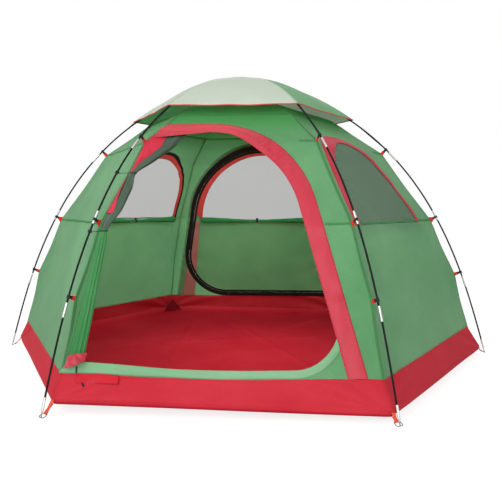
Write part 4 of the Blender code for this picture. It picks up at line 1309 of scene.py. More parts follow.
@dataclass
class FlapRoll:
    """A window flap rolled up along the foot of its net, gathered to a waist by a hook."""

    side: Side
    near: float
    far: float
    foot: float
    radius: float = 0.0265
    waist: float = 0.0085
    drop: float = 0.018

    def build(self, shop: Workshop, node: str, body: str) -> None:
        """Make the roll as a lapped spiral, thickest at its ends, along a hanging path, and its hook.

        Args:
            shop: The workshop.
            node: Node that the roll stands for.
            body: Body that it moves with.
        """
        share = np.linspace(0, 1, 160)
        across = self.near + (self.far - self.near) * share
        apart = np.abs(2 * share - 1)
        size = self.waist + (self.radius - self.waist) * apart**0.8
        height = self.foot - self.drop + size
        path = WALL.points(across, height, -0.0025 - size, self.side)
        size = size * np.minimum(0.60 + 8 * (1 - apart), 1)
        angle = (np.arange(40) / 40)[None, :]
        lap = 1 + 0.16 * angle + 0.05 * np.sin(5 * math.tau * angle + 14 * share[:, None])
        lap = lap * (1 + 0.04 * np.sin(60 * share[:, None] + 3 * math.tau * angle)) / 1.22
        turn = math.tau * angle
        profile = np.stack([np.cos(turn) * lap, np.sin(turn) * lap], axis=-1) * size[:, None, None]
        first, second = frames(path, UP)
        skin = bar(path, first, second, profile)
        roll = shop.piece(f"{node}_cloth", (body, "rolled_cloth", node), [skin], FLAP_GREEN)
        middle = len(path) // 2
        loop = circle(28, self.waist * 1.05)
        ring = path[middle] + loop[:, :1] * first[middle] + loop[:, 1:] * second[middle]
        ahead = unit(path[middle + 1] - path[middle - 1])
        band = hoop(ring, unit(ring - path[middle]), ahead, rounded_bar(0.0030, 0.015, 12))
        stem = path[middle] + UP * np.linspace(self.waist * 0.9, self.waist + 0.016, 8)[:, None]
        hook = bar(stem, *frames(stem, first[middle]), rounded_bar(0.020, 0.005, 12))
        shop.piece(f"{node}_hook", (body, "clip_plastic"), [band, hook], CLIP_BLACK)


# Tub, roof and cap


@dataclass
class Tub:
    """The floor with its upright edge, inner corner folds and front flap; radii are at the corners.

    Attributes:
        fold: Height of the folds at the corners and of the lines in the floor.
        fold_lines: Ends of the lines left in the floor, as two places each.
        edge_rows: Rows of the profile that make the upright edge.
    """

    shop: Workshop
    flat_radius: float = 1.360
    radius: float = 1.500
    fold: float = 0.0100
    edge_rows: int = 40
    fold_lines: tuple[tuple[float, ...], ...] = (
        (-0.25, 1.12, 0.45, -0.46),
        (0.20, 0.58, 0.62, 1.20),
        (-0.48, 1.10, -0.40, -0.50),
        (-0.95, 0.05, 0.55, 0.42),
    )

    def profile(self) -> Array:
        """Radius and height from the middle over the floor, round the edge and up to the walls.

        Returns:
            Rows of radius and height.
        """
        floor = np.stack([np.linspace(0.004, self.flat_radius, 60), np.zeros(60)], axis=1)
        rim = spline(np.array([(self.flat_radius, 0), (1.45, 0.008), (1.492, 0.024), (1.4985, 0.05)]), 6)
        wall = np.stack([np.linspace(1.4945, 1.4465, 34), np.linspace(0.056, 0.1765, 34)], axis=1)
        return np.vstack([floor, rim[1:], wall])

    def sector(self, side: int, columns: int) -> Array:
        """One sixth of the tub: its profile carried from corner to corner.

        Folds fan out from the lower corners, with slow waves between, and the floor lies in low ripples.

        Args:
            side: Which sixth.
            columns: Columns from corner to corner.

        Returns:
            Rows of points.
        """
        reach, level = np.hsplit(self.profile(), 2)
        share = np.linspace(-1, 1, columns, endpoint=False)[None, :]
        rim = eased(reach, (1.20, 1.46), (0, 1)) * np.clip((0.16 - level) / 0.11, 0, 1)
        corners = [(side + 4) % 6, (side + 5) % 6]
        drawn, lift = (
            np.interp(share, (-1, 1), [table[leg] for leg in corners]) for table in (CORNER_REACH, CORNER_LIFT)
        )
        radius = reach + drawn * rim
        half = radius * FLAT * HALF_SIDE
        across = share * half
        height = np.broadcast_to(level, across.shape)
        upright = np.clip((height - 0.01) / 0.05, 0, 1)
        out = np.zeros_like(across)
        phase = 1.3 * side
        for hand in (-1, 1):
            run = np.maximum(half - hand * across, 1e-6)
            angle = np.arctan2(height - 0.03, run)
            far = np.hypot(run, height - 0.03) / 0.20
            out += self.fold * np.cos(11 * angle + phase + hand) * far * np.exp(1 - far)
        out += 0.0022 * np.sin(9 * across + phase) * np.sin(22 * height)
        out *= upright * (1 - share**8) * np.clip((0.178 - height) / 0.02, 0, 1)
        ripple = np.sin(5.1 * across + 2 * phase) * np.sin(6.7 * reach + phase)
        rise = 0.0015 * (1 + ripple) * (1 - upright) * np.clip(reach, 0, 1) + lift * rim
        if side == Side.FRONT.value:
            rise = rise + WALL.hang(across, height)
        points = turned(spots_of(across, -radius * FLAT - out, height + rise), side)
        points[..., 2] += self.ridges(points[..., :2]) * (1 - upright)
        return points

    def ridges(self, spots: Array) -> Array:
        """Height of the fold lines left in the floor: a low bell across each line, fading at its ends.

        Args:
            spots: Places on the floor.

        Returns:
            Heights.
        """
        ends = np.array(self.fold_lines)
        start, run = ends[:, :2], ends[:, 2:] - ends[:, :2]
        length = np.linalg.norm(run, axis=1)
        way = run / length[:, None]
        apart = spots[..., None, :] - start
        along = (apart * way).sum(axis=-1) / length
        off = apart[..., 0] * way[:, 1] - apart[..., 1] * way[:, 0]
        bell = np.exp(-((off / 0.016) ** 2)) * np.sin(math.pi * np.clip(along, 0, 1)) ** 0.5
        return self.fold * bell.sum(axis=-1)

    def build(self) -> None:
        """Make the tub, its edge in a finish of its own, the folds in its corners and its flap."""
        points = np.concatenate([self.sector(side, 72) for side in range(6)], axis=1)
        edge = np.repeat(np.arange(len(points) - 1) > len(points) - self.edge_rows, points.shape[1])
        surface = Surface(points, closed(points[..., :2]), True, (True, False), np.append(edge, False))
        rides = ("tent", "red_cloth", "floor_tray")
        tub = self.shop.piece("floor_tray_cloth", rides, [surface], TUB_RED, TUB_SIDE, thickness=HEAVY_CLOTH)
        for number, leg in enumerate(LEGS):
            self.corner_fold(number, leg)
        self.sill_flap()

    def corner_fold(self, number: int, leg: str) -> None:
        """Stand a three-cornered fold of cloth in a corner: wide on the floor, closing upwards.

        Args:
            number: Number of the leg.
            leg: Its name.
        """
        level = np.linspace(0, 1, 14)[:, None]
        share = np.linspace(-1, 1, 22)[None, :]
        wide = 0.075 * (1 - level) + 0.004
        inward = 0.030 + np.abs(share) * wide * 0.62 + 0.035 * (1 - level) * (1 - np.abs(share)) ** 2
        height = 0.030 + CORNER_LIFT[number] + 0.092 * level + 0.004 * np.cos(3 * share)
        surface = Surface(turned(spots_of(1.482 - inward - 0.035 * level, share * wide, height), number))
        rides = ("tent", "red_cloth")
        # The fold's dark red is painted shade for its crease
        fold = self.shop.piece(f"corner_fold_{leg}", rides, [surface], FOLD_SHADE_RED, thickness=HEAVY_CLOTH)

    def sill_flap(self) -> None:
        """Hang the small covering flap on the front of the tub, with its toggle."""
        across, level = np.meshgrid(np.linspace(-0.650, -0.456, 44), np.linspace(0, 1, 18), indexing="ij")
        height = 0.142 + 0.036 * level + 0.004 * np.cos(math.pi * (across + 0.553) / 0.194) * level
        radius = np.interp(height, (0.035, 0.175), (self.radius + 0.004, 1.447))
        stand = 0.0045 + 0.0025 * (1 - level) * (0.6 + 0.4 * np.sin(40 * across))
        surface = Surface(spots_of(across, -radius * FLAT - stand, height), spots_of(across, 0.042 * level))
        flap = self.shop.piece("tub_flap", ("tent", "red_cloth"), [surface], FLAP_RED, thickness=HEAVY_CLOTH)
        path = np.array((-0.612, -1.284, 0.140)) + np.linspace(-1, 1, 9)[:, None] * (0.004, 0, -0.010)
        swell = (1 - np.linspace(-1, 1, 9) ** 4 * 0.5)[:, None, None]
        toggle = bar(path, *frames(path, np.array((0.0, -1.0, 0.0))), circle(14) * 0.0045 * swell)
        self.shop.piece("tub_flap_toggle", ("tent", "clip_plastic"), [toggle], CLIP_BLACK)


@dataclass
class Roof:
    """The net top of the canopy, and the rain cap with its piping and ties.

    Attributes:
        cap_gap: How far the cap's underside lies over the poles' middle lines.
        cloth: How far its top lies over its underside.
        bulge: How far its gores swell between the poles.
        hollow: How far they hang at the edge.
        set_in: Distance of the cords from the corners.
        beside: How far the cords run beside the pole's middle.
    """

    shop: Workshop
    poles: "Poles"
    cap_radius: float = 0.705
    cap_gap: float = 0.00675
    cloth: float = 0.002
    bulge: float = 0.011
    hollow: float = 0.003
    flutter: float = 0.0022
    set_in: float = 0.014
    cord: float = 0.0026
    # Half a sleeve, its play, the clip's bar, the cord's play and half a cord
    beside: float = 0.0115 / 2 + 0.0004 + 0.0026 + 0.0003 + 0.0026 / 2
    # Gores that keep the cap's green; the others take the pale cloth painted as sheen
    green_gores: tuple[int, ...] = (1, 4)

    def vent(self) -> None:
        """Close the canopy above the walls with net, its rim tucked inside their edges."""
        level = np.linspace(WALL.vent_edge - 0.008, WALL.peak[1] - 0.002, 36)[:, None]
        across = np.linspace(-1, 1, 28, endpoint=False)[None, :] * WALL.half(level)
        height = np.broadcast_to(level, across.shape)
        tuck = WALL_LIFT - 0.0016 * eased(height, (WALL.vent_edge, WALL.vent_edge + 0.02), (1, 0))
        points = np.concatenate([WALL.points(across, height, tuck, side) for side in Side], axis=1)
        surface = Surface(points, wrap=True, ends=(False, True))
        rides = ("tent", "net", "roof_vent")
        vent = self.shop.piece("roof_vent_cloth", rides, [surface], VENT_GREEN, thickness=VENT_NET)

    def section(self, radius: Array, raise_by: float) -> Array:
        """Height of the cap over a pole at a radius.

        Args:
            radius: Radii.
            raise_by: How far over the pole's middle line.

        Returns:
            Heights.
        """
        line = self.poles.line(2)
        normal = np.gradient(line, axis=0)
        normal = unit(np.stack([normal[:, 1], -normal[:, 0]], axis=1))
        normal *= np.where(normal[:, 1:] < 0, -1, 1)
        raised = line + normal * raise_by
        order = np.argsort(raised[:, 0])
        return np.interp(radius, raised[order, 0], raised[order, 1])

    def gore(self, share: Array, side: int, radius: Array) -> Array:
        """Points of a gore: swelling a little from pole to pole, hollowed and drawn in at the edge.

        Args:
            share: From the gore's first pole, at 0, to its second, at 1.
            side: Which gore.
            radius: Radii over the poles.

        Returns:
            Points of the cap's top face.
        """
        part = radius / self.cap_radius
        swing = np.sin(math.pi * share) ** 2
        drawn = radius * (1 - 0.008 * swing * part**2)
        across = (2 * share - 1) * (drawn * FLAT * HALF_SIDE)
        flutter = self.flutter * np.sin(17 * share + 5 * side) * part**3 * swing
        swell = (4 * self.bulge * part * (1 - part) - self.hollow * part) * swing
        height = self.section(radius, self.cap_gap + self.cloth) + swell + flutter
        return turned(spots_of(across, -drawn * FLAT, height), side)

    def cap(self) -> None:
        """Spread the cap over the crossing poles, two of its six gores green and the other four pale with painted
        sheen, and pipe its edge.
        """
        radius = np.linspace(0.003, self.cap_radius, 44)[:, None]
        share = np.linspace(0, 1, 36)[None, :]
        surfaces = [
            Surface(self.gore(share, side, radius), finish=int(side in self.green_gores)) for side in range(6)
        ]
        rides = ("rain_cap", "cap_cloth", "rain_cap")
        cap = self.shop.piece("rain_cap_cloth", rides, surfaces, CAP_SHEEN_PALE, CAP_GREEN, thickness=TAPE)
        area = sum(surface.area() for surface in surfaces)
        share = np.linspace(0, 1, 40, endpoint=False)
        path = np.concatenate([self.gore(share, side, np.array(self.cap_radius)) for side in range(6)])
        path = path - UP * 0.001
        piping = hoop(path, unit(path * (1, 1, 0)), UP, circle(10, 0.0030))
        self.shop.piece("rain_cap_piping", ("rain_cap", "red_band"), [piping], PIPING_RED)

    def ties(self) -> None:
        """String an elastic cord from each cap corner to the top clip, beside the pole."""
        reach = self.cap_radius - self.set_in
        low = self.section(np.array(reach + self.beside * HALF_SIDE), self.cap_gap)
        clip = self.poles.stations(0)[3]
        for leg in LEGS:
            out, side = self.poles.plane(leg)
            start = out * reach + side * self.beside + UP * (low - self.cord)
            end = out * clip[0] + side * self.beside + UP * clip[1]
            points = start + (end - start) * np.linspace(0, 1, 17)[:, None]
            curve = bpy.data.curves.new(f"cap_tie_{leg}_cord", "CURVE")
            curve.dimensions = "3D"
            curve.bevel_depth = self.cord / 2
            curve.bevel_resolution = 3
            curve.use_fill_caps = True
            line = curve.splines.new("POLY")
            line.points.add(len(points) - 1)
            line.points.foreach_set("co", np.hstack([points, np.ones((len(points), 1))]).ravel())
            curve.materials.append(self.shop.material(CORD_BLACK))
            tie = dress(placed(curve.name, curve), "rain_cap", "elastic", f"cap_tie_{leg}")

    def build(self) -> None:
        """Make the net top, the cap and its ties."""
        self.vent()
        self.cap()
        self.ties()


# Poles and clips


@dataclass(frozen=True)
class Grip:
    """A spot on a pole, with the directions along the pole, away from the tent and sideways."""

    spot: Array
    along: Array
    away: Array
    side: Array

    def hook(self, radius: float, turn: Array, profile: Array) -> Surface:
        """Bend a bar round the pole."""
        path = self.spot + radius * (np.cos(turn)[:, None] * self.away + np.sin(turn)[:, None] * self.side)
        return bar(path, unit(path - self.spot), self.along, profile)


@dataclass
class Poles:
    """Three jointed poles, each through two feet, six clips and the crossing; pairs are radius and height.

    Attributes:
        legs: Leg that each pole starts from.
        stand_off: Distance of the poles from the seams at the clips.
        peak: Height of the lowest pole at the crossing.
        stack: Height of each pole over the one below it.
        steps: Points to each span.
    """

    shop: Workshop
    names: tuple[str, ...] = ("pole_right_left", "pole_front_left", "pole_front_right")
    legs: tuple[str, ...] = ("right", "front_left", "front_right")
    rod: float = 0.00475
    sleeve: float = 0.00575
    sleeve_length: float = 0.070
    section_length: float = 0.460
    stand_off: float = 0.038
    foot: Pair = (1.553, 0.026)
    peak: float = 1.712
    stack: float = 0.010
    steps: int = 60
    sides: int = 16

    def seam(self) -> Array:
        """Radius and height of a corner seam at the tray, its clips, the crown and the peak."""
        return np.insert(WALL.stations(), 1, WALL.low_clip, axis=0)

    def leans(self) -> Array:
        """Outward directions of the seam at its clips.

        Returns:
            One direction to each clip.
        """
        run = np.diff(self.seam(), axis=0)
        normals = unit(np.stack([run[:, 1], -run[:, 0]], axis=1))
        return unit(normals[:3] + normals[1:4])

    def stations(self, order: int) -> Array:
        """Radius and height of a pole at foot, clips, crossing and down again.

        Args:
            order: Which pole, from the lowest.

        Returns:
            Rows of radius and height.
        """
        clips = self.seam()[1:4] + self.stand_off * self.leans()
        half = np.vstack([[self.foot], clips])
        return np.vstack([half, [(0.0, self.peak + order * self.stack)], half[::-1] * (-1, 1)])

    def line(self, order: int) -> Array:
        """Fine line of a pole in its upright plane."""
        return spline(self.stations(order), self.steps)

    def plane(self, leg: str) -> tuple[Array, Array]:
        """Outward and sideways directions of a leg.

        Args:
            leg: Which leg.

        Returns:
            The two directions.
        """
        angle = LEGS.index(leg) * SECTOR
        out = np.array((math.cos(angle), math.sin(angle), 0.0))
        return out, np.array((-out[1], out[0], 0.0))

    def order(self, leg: str) -> int:
        """Which pole stands on a leg."""
        opposite = LEGS[(LEGS.index(leg) + 3) % 6]
        return next(i for i, name in enumerate(self.legs) if name in (leg, opposite))

    def grip(self, leg: str, line: Array, at: int) -> Grip:
        """Where something holds on to a pole.

        Args:
            leg: Leg that the pole stands on.
            line: Fine line of the pole.
            at: Which of the line's points.

        Returns:
            The spot and its directions.
        """
        out, side = self.plane(leg)
        tangent = unit(line[at + 1] - line[at - 1])
        spot, along = (x * out + z * UP for x, z in (line[at], tangent))
        return Grip(spot, along, out * tangent[1] - UP * tangent[0], side)

    def build(self) -> None:
        """Make each pole as a round bar whose radius steps up at the sleeves."""
        for order, (name, leg) in enumerate(zip(self.names, self.legs)):
            line = self.line(order)
            lengths = lengths_along(line)
            whole = lengths[-1]
            half = self.sleeve_length / 2
            count = int((whole / 2 - self.sleeve_length) // self.section_length)
            middles = self.section_length * np.arange(1, count + 1)
            middles = np.concatenate([[half], middles, whole - middles[::-1], [whole - half]])
            edges = (middles[:, None] + half * np.array((-1, 1))).ravel()
            steps = np.array((-0.0015, -0.0007, 0.0, 0.0007)) * 0.5
            places = np.concatenate([np.linspace(0, whole, 500), (edges[:, None] + steps).ravel()])
            places = np.unique(np.clip(places, 0, whole))
            off = np.abs(places[:, None] - middles).min(axis=1) - half
            radius = self.rod + (self.sleeve - self.rod) * np.clip(-off / 0.0008, 0, 1)
            radius = radius * np.where(np.minimum(places, whole - places) < 0.0005, 0.85, 1)
            flat = np.stack([np.interp(places, lengths, line[:, k]) for k in (0, 1)], axis=1)
            out, side = self.plane(leg)
            path = flat[:, :1] * out + flat[:, 1:] * UP
            across = np.broadcast_to(side, path.shape)
            beside = np.cross(across, unit(np.gradient(path, axis=0)))
            bright = np.append(np.repeat((off[:-1] < 0) & (off[1:] < 0), self.sides), [True, True])
            rod = bar(path, beside, across, circle(self.sides)[None] * radius[:, None, None], bright)
            self.shop.piece(f"{name}_rod", ("tent", "black_rod", name), [rod], BLACK_ROD, SILVER)


@dataclass
class Clips:
    """Hooks round the poles on webbing tabs from the seams, and the webbing at the feet.

    Attributes:
        length: Length of the hooks along the pole.
        wall: Thickness of their bars.
        flares: How much wider the tabs of the three clips are at the seam.
        ring_drop: How far the foot ring lies under the pole's end.
        ring_reach: How far it reaches towards the tub.
        ring_turn: Radius of the webbing's turn round it.
    """

    shop: Workshop
    poles: Poles
    length: float = 0.015
    wall: float = 0.0028
    tab: float = 0.019
    flares: tuple[float, ...] = (0.003, 0.022, 0.003)
    ring_drop: float = 0.018
    ring_reach: float = 0.026
    ring_turn: float = 0.0036

    def build(self) -> None:
        """Make three clips and one foot strap for each leg."""
        for leg in LEGS:
            for level in range(3):
                self.clip(leg, level)
            self.strap(leg)

    def clip(self, leg: str, level: int) -> None:
        """Bend a flat bar round the pole, and sew a tab from it to the seam.

        Args:
            leg: Which leg.
            level: Which clip, from the lowest.
        """
        line = self.poles.line(self.poles.order(leg))
        grip = self.poles.grip(leg, line, (level + 1) * self.poles.steps)
        middle = self.poles.sleeve + 0.0003 + self.wall / 2
        lip = 1 - 0.35 * np.clip((np.arange(34) - 28) / 5, 0, 1)
        flat = rounded_bar(self.wall, self.length)[None] * lip[:, None, None]
        hook = grip.hook(middle, np.linspace(math.pi * 0.94, -0.62 * math.pi, 34), flat)
        out, side = self.poles.plane(leg)
        lean = self.poles.leans()[level]
        bend = self.poles.seam()[level + 1] - 0.001 * lean
        start, end = grip.spot - grip.away * middle, bend[0] * out + bend[1] * UP
        share = np.linspace(0, 1, 9)[:, None]
        thick = 0.0052 - 0.0018 * np.sin(math.pi * share)
        sizes = np.stack([thick, np.full_like(thick, self.length)], axis=-1)
        reach = start + (end - start) * share * 0.42
        stem = bar(reach, side, grip.along, rounded_bar(1.0, 1.0)[None] * sizes)
        broad = self.tab + self.flares[level] * share**1.2
        sizes = np.stack([np.full_like(broad, 0.0030), broad], axis=-1)
        ways = unit(grip.along * (1 - share) + (out * -lean[1] + UP * lean[0]) * share)
        run = start + (end - start) * (0.32 + 0.68 * share)
        tab = bar(run, side, ways, rounded_bar(1.0, 1.0)[None] * sizes, 1)
        node = f"clip_{leg}_{level + 1}"
        rides = ("tent", "clip_plastic", node)
        self.shop.piece(f"{node}_hook", rides, [hook, stem, tab], CLIP_BLACK, TAB_RED)

    def strap(self, leg: str) -> None:
        """Lead flat webbing from the tub's corner round the foot ring and back.

        Args:
            leg: Which leg.
        """
        line = self.poles.line(0)
        low = line[0] + unit(line[0] - line[1]) * self.ring_drop
        tie = unit(np.array([1.5, 0.035]) - low)
        ring = low + tie * self.ring_reach
        normal = np.array([-tie[1], tie[0]])
        angle = np.linspace(math.pi / 2, 3 * math.pi / 2, 15)[:, None]
        bow = ring + self.ring_turn * (np.cos(angle) * tie + np.sin(angle) * normal)
        place = LEGS.index(leg)
        corner = np.array([1.4975 + CORNER_REACH[place], 0.027 + CORNER_LIFT[place]])
        start, turn, end = corner + (-0.003, 0.014), corner + (0.0015, 0.004), corner - (0.002, 0.004)
        flat = resampled(np.vstack([start, turn, bow, end]), 40)
        out, side = self.poles.plane(leg)
        path = flat[:, :1] * out + flat[:, 1:] * UP
        across = np.broadcast_to(side, path.shape)
        beside = np.cross(across, unit(np.gradient(path, axis=0)))
        strap = bar(path, beside, across, rounded_bar(0.0015, 0.019, 14))
        self.shop.piece(f"foot_strap_{leg}", ("tent", "red_cloth"), [strap], STRAP_RED)


# Doors


@dataclass
class FrontDoor:
    """The open front doorway: band, zip, sill, and the door rolled to its hinge side.

    Attributes:
        band_taper: How much narrower the band is over the top.
        reach: Width that the edges in stations are shares of.
        depth: Depth that the thickness and set-back in stations are shares of.
        stations: Height, near and far edge, thickness and set-back of the roll, as shares.
        ties_at: Heights of the two ties, as shares of the door's.
    """

    shop: Workshop
    poles: Poles
    band_inside: float = 0.050
    band_outside: float = 0.036
    band_taper: float = 0.032
    zip_width: float = 0.010
    reach: float = 0.160
    depth: float = 0.060
    stations: tuple[tuple[float, ...], ...] = (
        (0.026, 0.00, 0.50, 0.83, 0.00),
        (0.227, 0.00, 0.40, 0.92, 0.00),
        (0.437, 0.00, 0.29, 0.88, 0.00),
        (0.510, 0.00, 0.25, 0.75, 0.00),
        (0.541, 0.00, 0.19, 0.50, 0.00),
        (0.620, 0.00, 0.40, 1.00, 0.00),
        (0.725, 0.00, 0.34, 0.92, 0.00),
        (0.790, 0.00, 0.16, 0.50, 0.00),
        (0.838, 0.09, 0.53, 1.00, 0.20),
        (0.917, 0.47, 1.00, 1.03, 0.56),
        (0.980, 0.34, 0.97, 0.83, 0.56),
    )
    ties_at: Pair = (0.790, 0.541)

    def build(self) -> None:
        """Make every piece of the front doorway; its band narrows over the top, short of the hinge."""
        outer, inner = (WALL.band_line(Side.FRONT, inset) for inset in (-self.band_outside, self.band_inside))
        narrow = eased(-inner[:, 0], (-0.18, 0.02, 0.25, 0.33), (0, 1, 1, 0))
        inner[:, 1] += self.band_taper * narrow * (inner[:, 1] > 1)
        band_strip(self.shop, BAND_RED, "front_door_band", (outer, inner), Side.FRONT, 0.0060)
        edges = [WALL.door_line(Side.FRONT, inset) for inset in (ZIP_GAP, ZIP_GAP + self.zip_width)]
        zip_strip(self.shop, "front_zip", edges, Side.FRONT, -0.0012, "tent", "front_zip")
        self.sill()
        self.roll()
        self.red_corner()
        self.red_edge()
        self.ties()
        self.patch()

    def fold(self, name: str, surface: Surface, finish: Finish, thickness: float, length: float) -> None:
        """Fold a piece of cloth over the roll.

        Args:
            name: Its name.
            surface: Its grid.
            finish: Its finish.
            thickness: Its thickness.
            length: Its length, laid flat; not used.
        """
        piece = self.shop.piece(name, ("tent", "red_band"), [surface], finish, thickness=thickness)

    def sill(self) -> None:
        """Lay the pale hem over the zip along the sill and up the far corner."""
        edges = []
        for inset in (-0.0225, 0.0135):
            line = resampled(np.vstack(round_corners(WALL.door_corners(Side.FRONT), inset)[:2]), 900)
            line = line[line[:, 0] < DOORS[Side.FRONT].zip_edge(line[:, 1]) - self.band_inside]
            line[:, 1] += max(inset, 0.0) * eased(-line[:, 0], (0.15, 0.66), (0.0, 1.0))
            edges.append(line)
        grid, flat = strip_between(*edges, 420, 10)
        along = flat[..., 0]
        share = np.linspace(0, 1, 10)[None, :]
        twist = 0.0026 * (1 + np.sin(15 * along + 3.4 * share)) * np.sin(math.pi * share)
        lift = 0.0010 + 0.0018 * share + twist + 0.0005 * np.sin(83 * along) * share
        surface = WALL.laid(grid, flat, lift, Side.FRONT)
        hem = self.shop.piece("front_sill_hem", ("tent", "green_cloth"), [surface], SILL_GREEN, thickness=CLOTH)
        length = float(along[-1, 0])
        surface.area() / length

    def rise(self, level: Array) -> Array:
        """Height at a share of the door's height."""
        door = DOORS[Side.FRONT]
        return door.sill + (door.top - door.sill) * level

    def rings(self, level: Array, angle: Array, swell: float = 1.0) -> Array:
        """Surface of the rolled door: an oval round a path, fluted by pleats that twist upwards.

        Args:
            level: Shares of the door's height.
            angle: Angles round the roll, one row for each level or one for all.
            swell: How much larger than the roll.

        Returns:
            Rows of points.
        """
        table = np.array(self.stations)
        fine = np.linspace(table[0, 0], table[-1, 0], 400)
        window = np.hanning(25)
        window /= window.sum()
        columns = []
        for column in table[:, 1:].T:
            values = np.pad(np.interp(fine, table[:, 0], column), 12, mode="edge")
            columns.append(np.interp(level, fine, np.convolve(values, window, "valid"))[:, None])
        near, far, thick, back = columns
        lower = np.clip((0.56 - level) / 0.05, 0, 1)[:, None]
        waves = ((9, 1.2), (5, 9.0), (17, -4.0))
        flute, wrap, fine_fold = (0.5 + 0.5 * np.cos(n * angle + twist * level[:, None]) for n, twist in waves)
        pleat = 1 - lower * 0.30 * flute**0.6 - (1 - lower) * 0.13 * wrap - 0.04 * fine_fold
        across = self.reach * (far - near) / 2 * np.cos(angle) * pleat * swell
        through = self.depth * thick / 2 * np.sin(angle) * pleat * swell
        height = self.rise(level)
        left = WALL.hinge_edge(height) + 0.0005 + self.reach * near[:, 0]
        middle = left + self.reach * (far - near)[:, 0] / 2 * 0.97
        path = WALL.points(middle, height, -0.001, Side.FRONT)
        path[:, 1] += self.depth * back[:, 0]
        return path[:, None] + np.stack([across, through, np.zeros_like(across)], axis=-1)

    def roll(self) -> None:
        """Make the rolled bundles above and the hanging pleats below as one skin."""
        level = np.linspace(0.026, 0.980, 260)
        points = self.rings(level, np.arange(120)[None, :] * math.tau / 120)
        hanging = np.append(np.repeat(level[:-1] < 0.545, 120), [True, False])
        skin = Surface(points, wrap=True, ends=(True, True), finish=hanging)
        rides = ("tent", "rolled_cloth", "front_door_roll")
        # The bundles take the dark roll cloth with its painted shade; the hanging pleats take the skirt cloth
        roll = self.shop.piece("front_door_roll_cloth", rides, [skin], ROLL_SHADE_GREEN, SKIRT_GREEN)

    def red_corner(self) -> None:
        """Show the door's red corner above the roll."""
        level = np.linspace(0.786, 0.972, 60)[:, None]
        table = np.array(self.stations)
        near = np.interp(level, table[:, 0], table[:, 1]) * self.reach
        height = self.rise(level)
        share = np.linspace(0, 1, 18)[None, :]
        wide = np.maximum(near + 0.034, 0.016)
        across = 0.003 - WALL.half(height) + share * wide
        dip = 0.0012 - 0.024 * share**2 * np.clip((level - 0.80) / 0.05, 0, 1)
        dip = dip + 0.003 * np.sin(9 * share + 20 * level) * share
        surface = WALL.laid(spots_of(across, height), spots_of(height, share * wide), dip, Side.FRONT)
        self.fold("front_door_corner", surface, TRIM_RED, CLOTH, 0.22)

    def red_edge(self) -> None:
        """Show the door's red edge as a narrow fold between the ties."""
        angle = math.pi - 0.15 + np.linspace(2.05, 0.50, 60)[:, None] * np.linspace(0, 1, 18)[None, :]
        points = self.rings(np.linspace(0.615, 0.782, 60), angle, 1.04) + (-0.006, -0.0012, 0.0)
        self.fold("front_door_edge", Surface(points), TRIM_RED, FINE_TAPE, 0.20)

    def ties(self) -> None:
        """Tie the roll at two heights: a loop round it and a hook on the pole."""
        line = self.poles.line(1)
        angle = np.arange(40)[None, :] * math.tau / 40
        for label, level in zip(("upper", "lower"), self.ties_at):
            ring = self.rings(np.array([level]), angle, 1.10)[0]
            middle = ring.mean(axis=0)
            loop = hoop(ring, unit(ring - middle), UP, rounded_bar(0.0025, 0.006, 12))
            at = int(np.argmin(np.abs(line[:240, 1] - middle[2])))
            grip = self.poles.grip("front_left", line, at)
            turn = np.linspace(0.9 * math.pi, -0.6 * math.pi, 26)
            hook = grip.hook(0.0078, turn, rounded_bar(0.003, 0.013, 14))
            near = ring[np.argmin(np.linalg.norm(ring - grip.spot, axis=1))]
            start = grip.spot - grip.away * 0.0075
            reach = start + (near - start) * np.linspace(0, 1, 12)[:, None]
            cord = bar(reach, *frames(reach, UP), circle(10, 0.0014))
            self.shop.piece(f"door_tie_{label}", ("tent", "clip_plastic"), [loop, hook, cord], CLIP_BLACK)

    def patch(self) -> None:
        """Fold the red corner patch round the foot of the hanging pleats."""
        share, level = np.meshgrid(np.linspace(0, 1, 30), np.linspace(0, 1, 24), indexing="ij")
        low = 0.196 + 0.034 * share**2
        height = low + (0.252 + 0.014 * share - low) * level
        across = WALL.hinge_edge(height) + 0.004 + 0.088 * share
        swell = (0.047 - 0.020 * level) * np.sin(math.pi * (0.12 + 0.8 * share))
        stand = 0.006 + swell + 0.0015 * np.sin(17 * share + 9 * level)
        flat = spots_of(0.088 * share, 0.055 * level)
        surface = WALL.laid(spots_of(across, height), flat, stand, Side.FRONT)
        self.fold("front_door_patch", surface, PATCH_RED, CLOTH, 0.06)


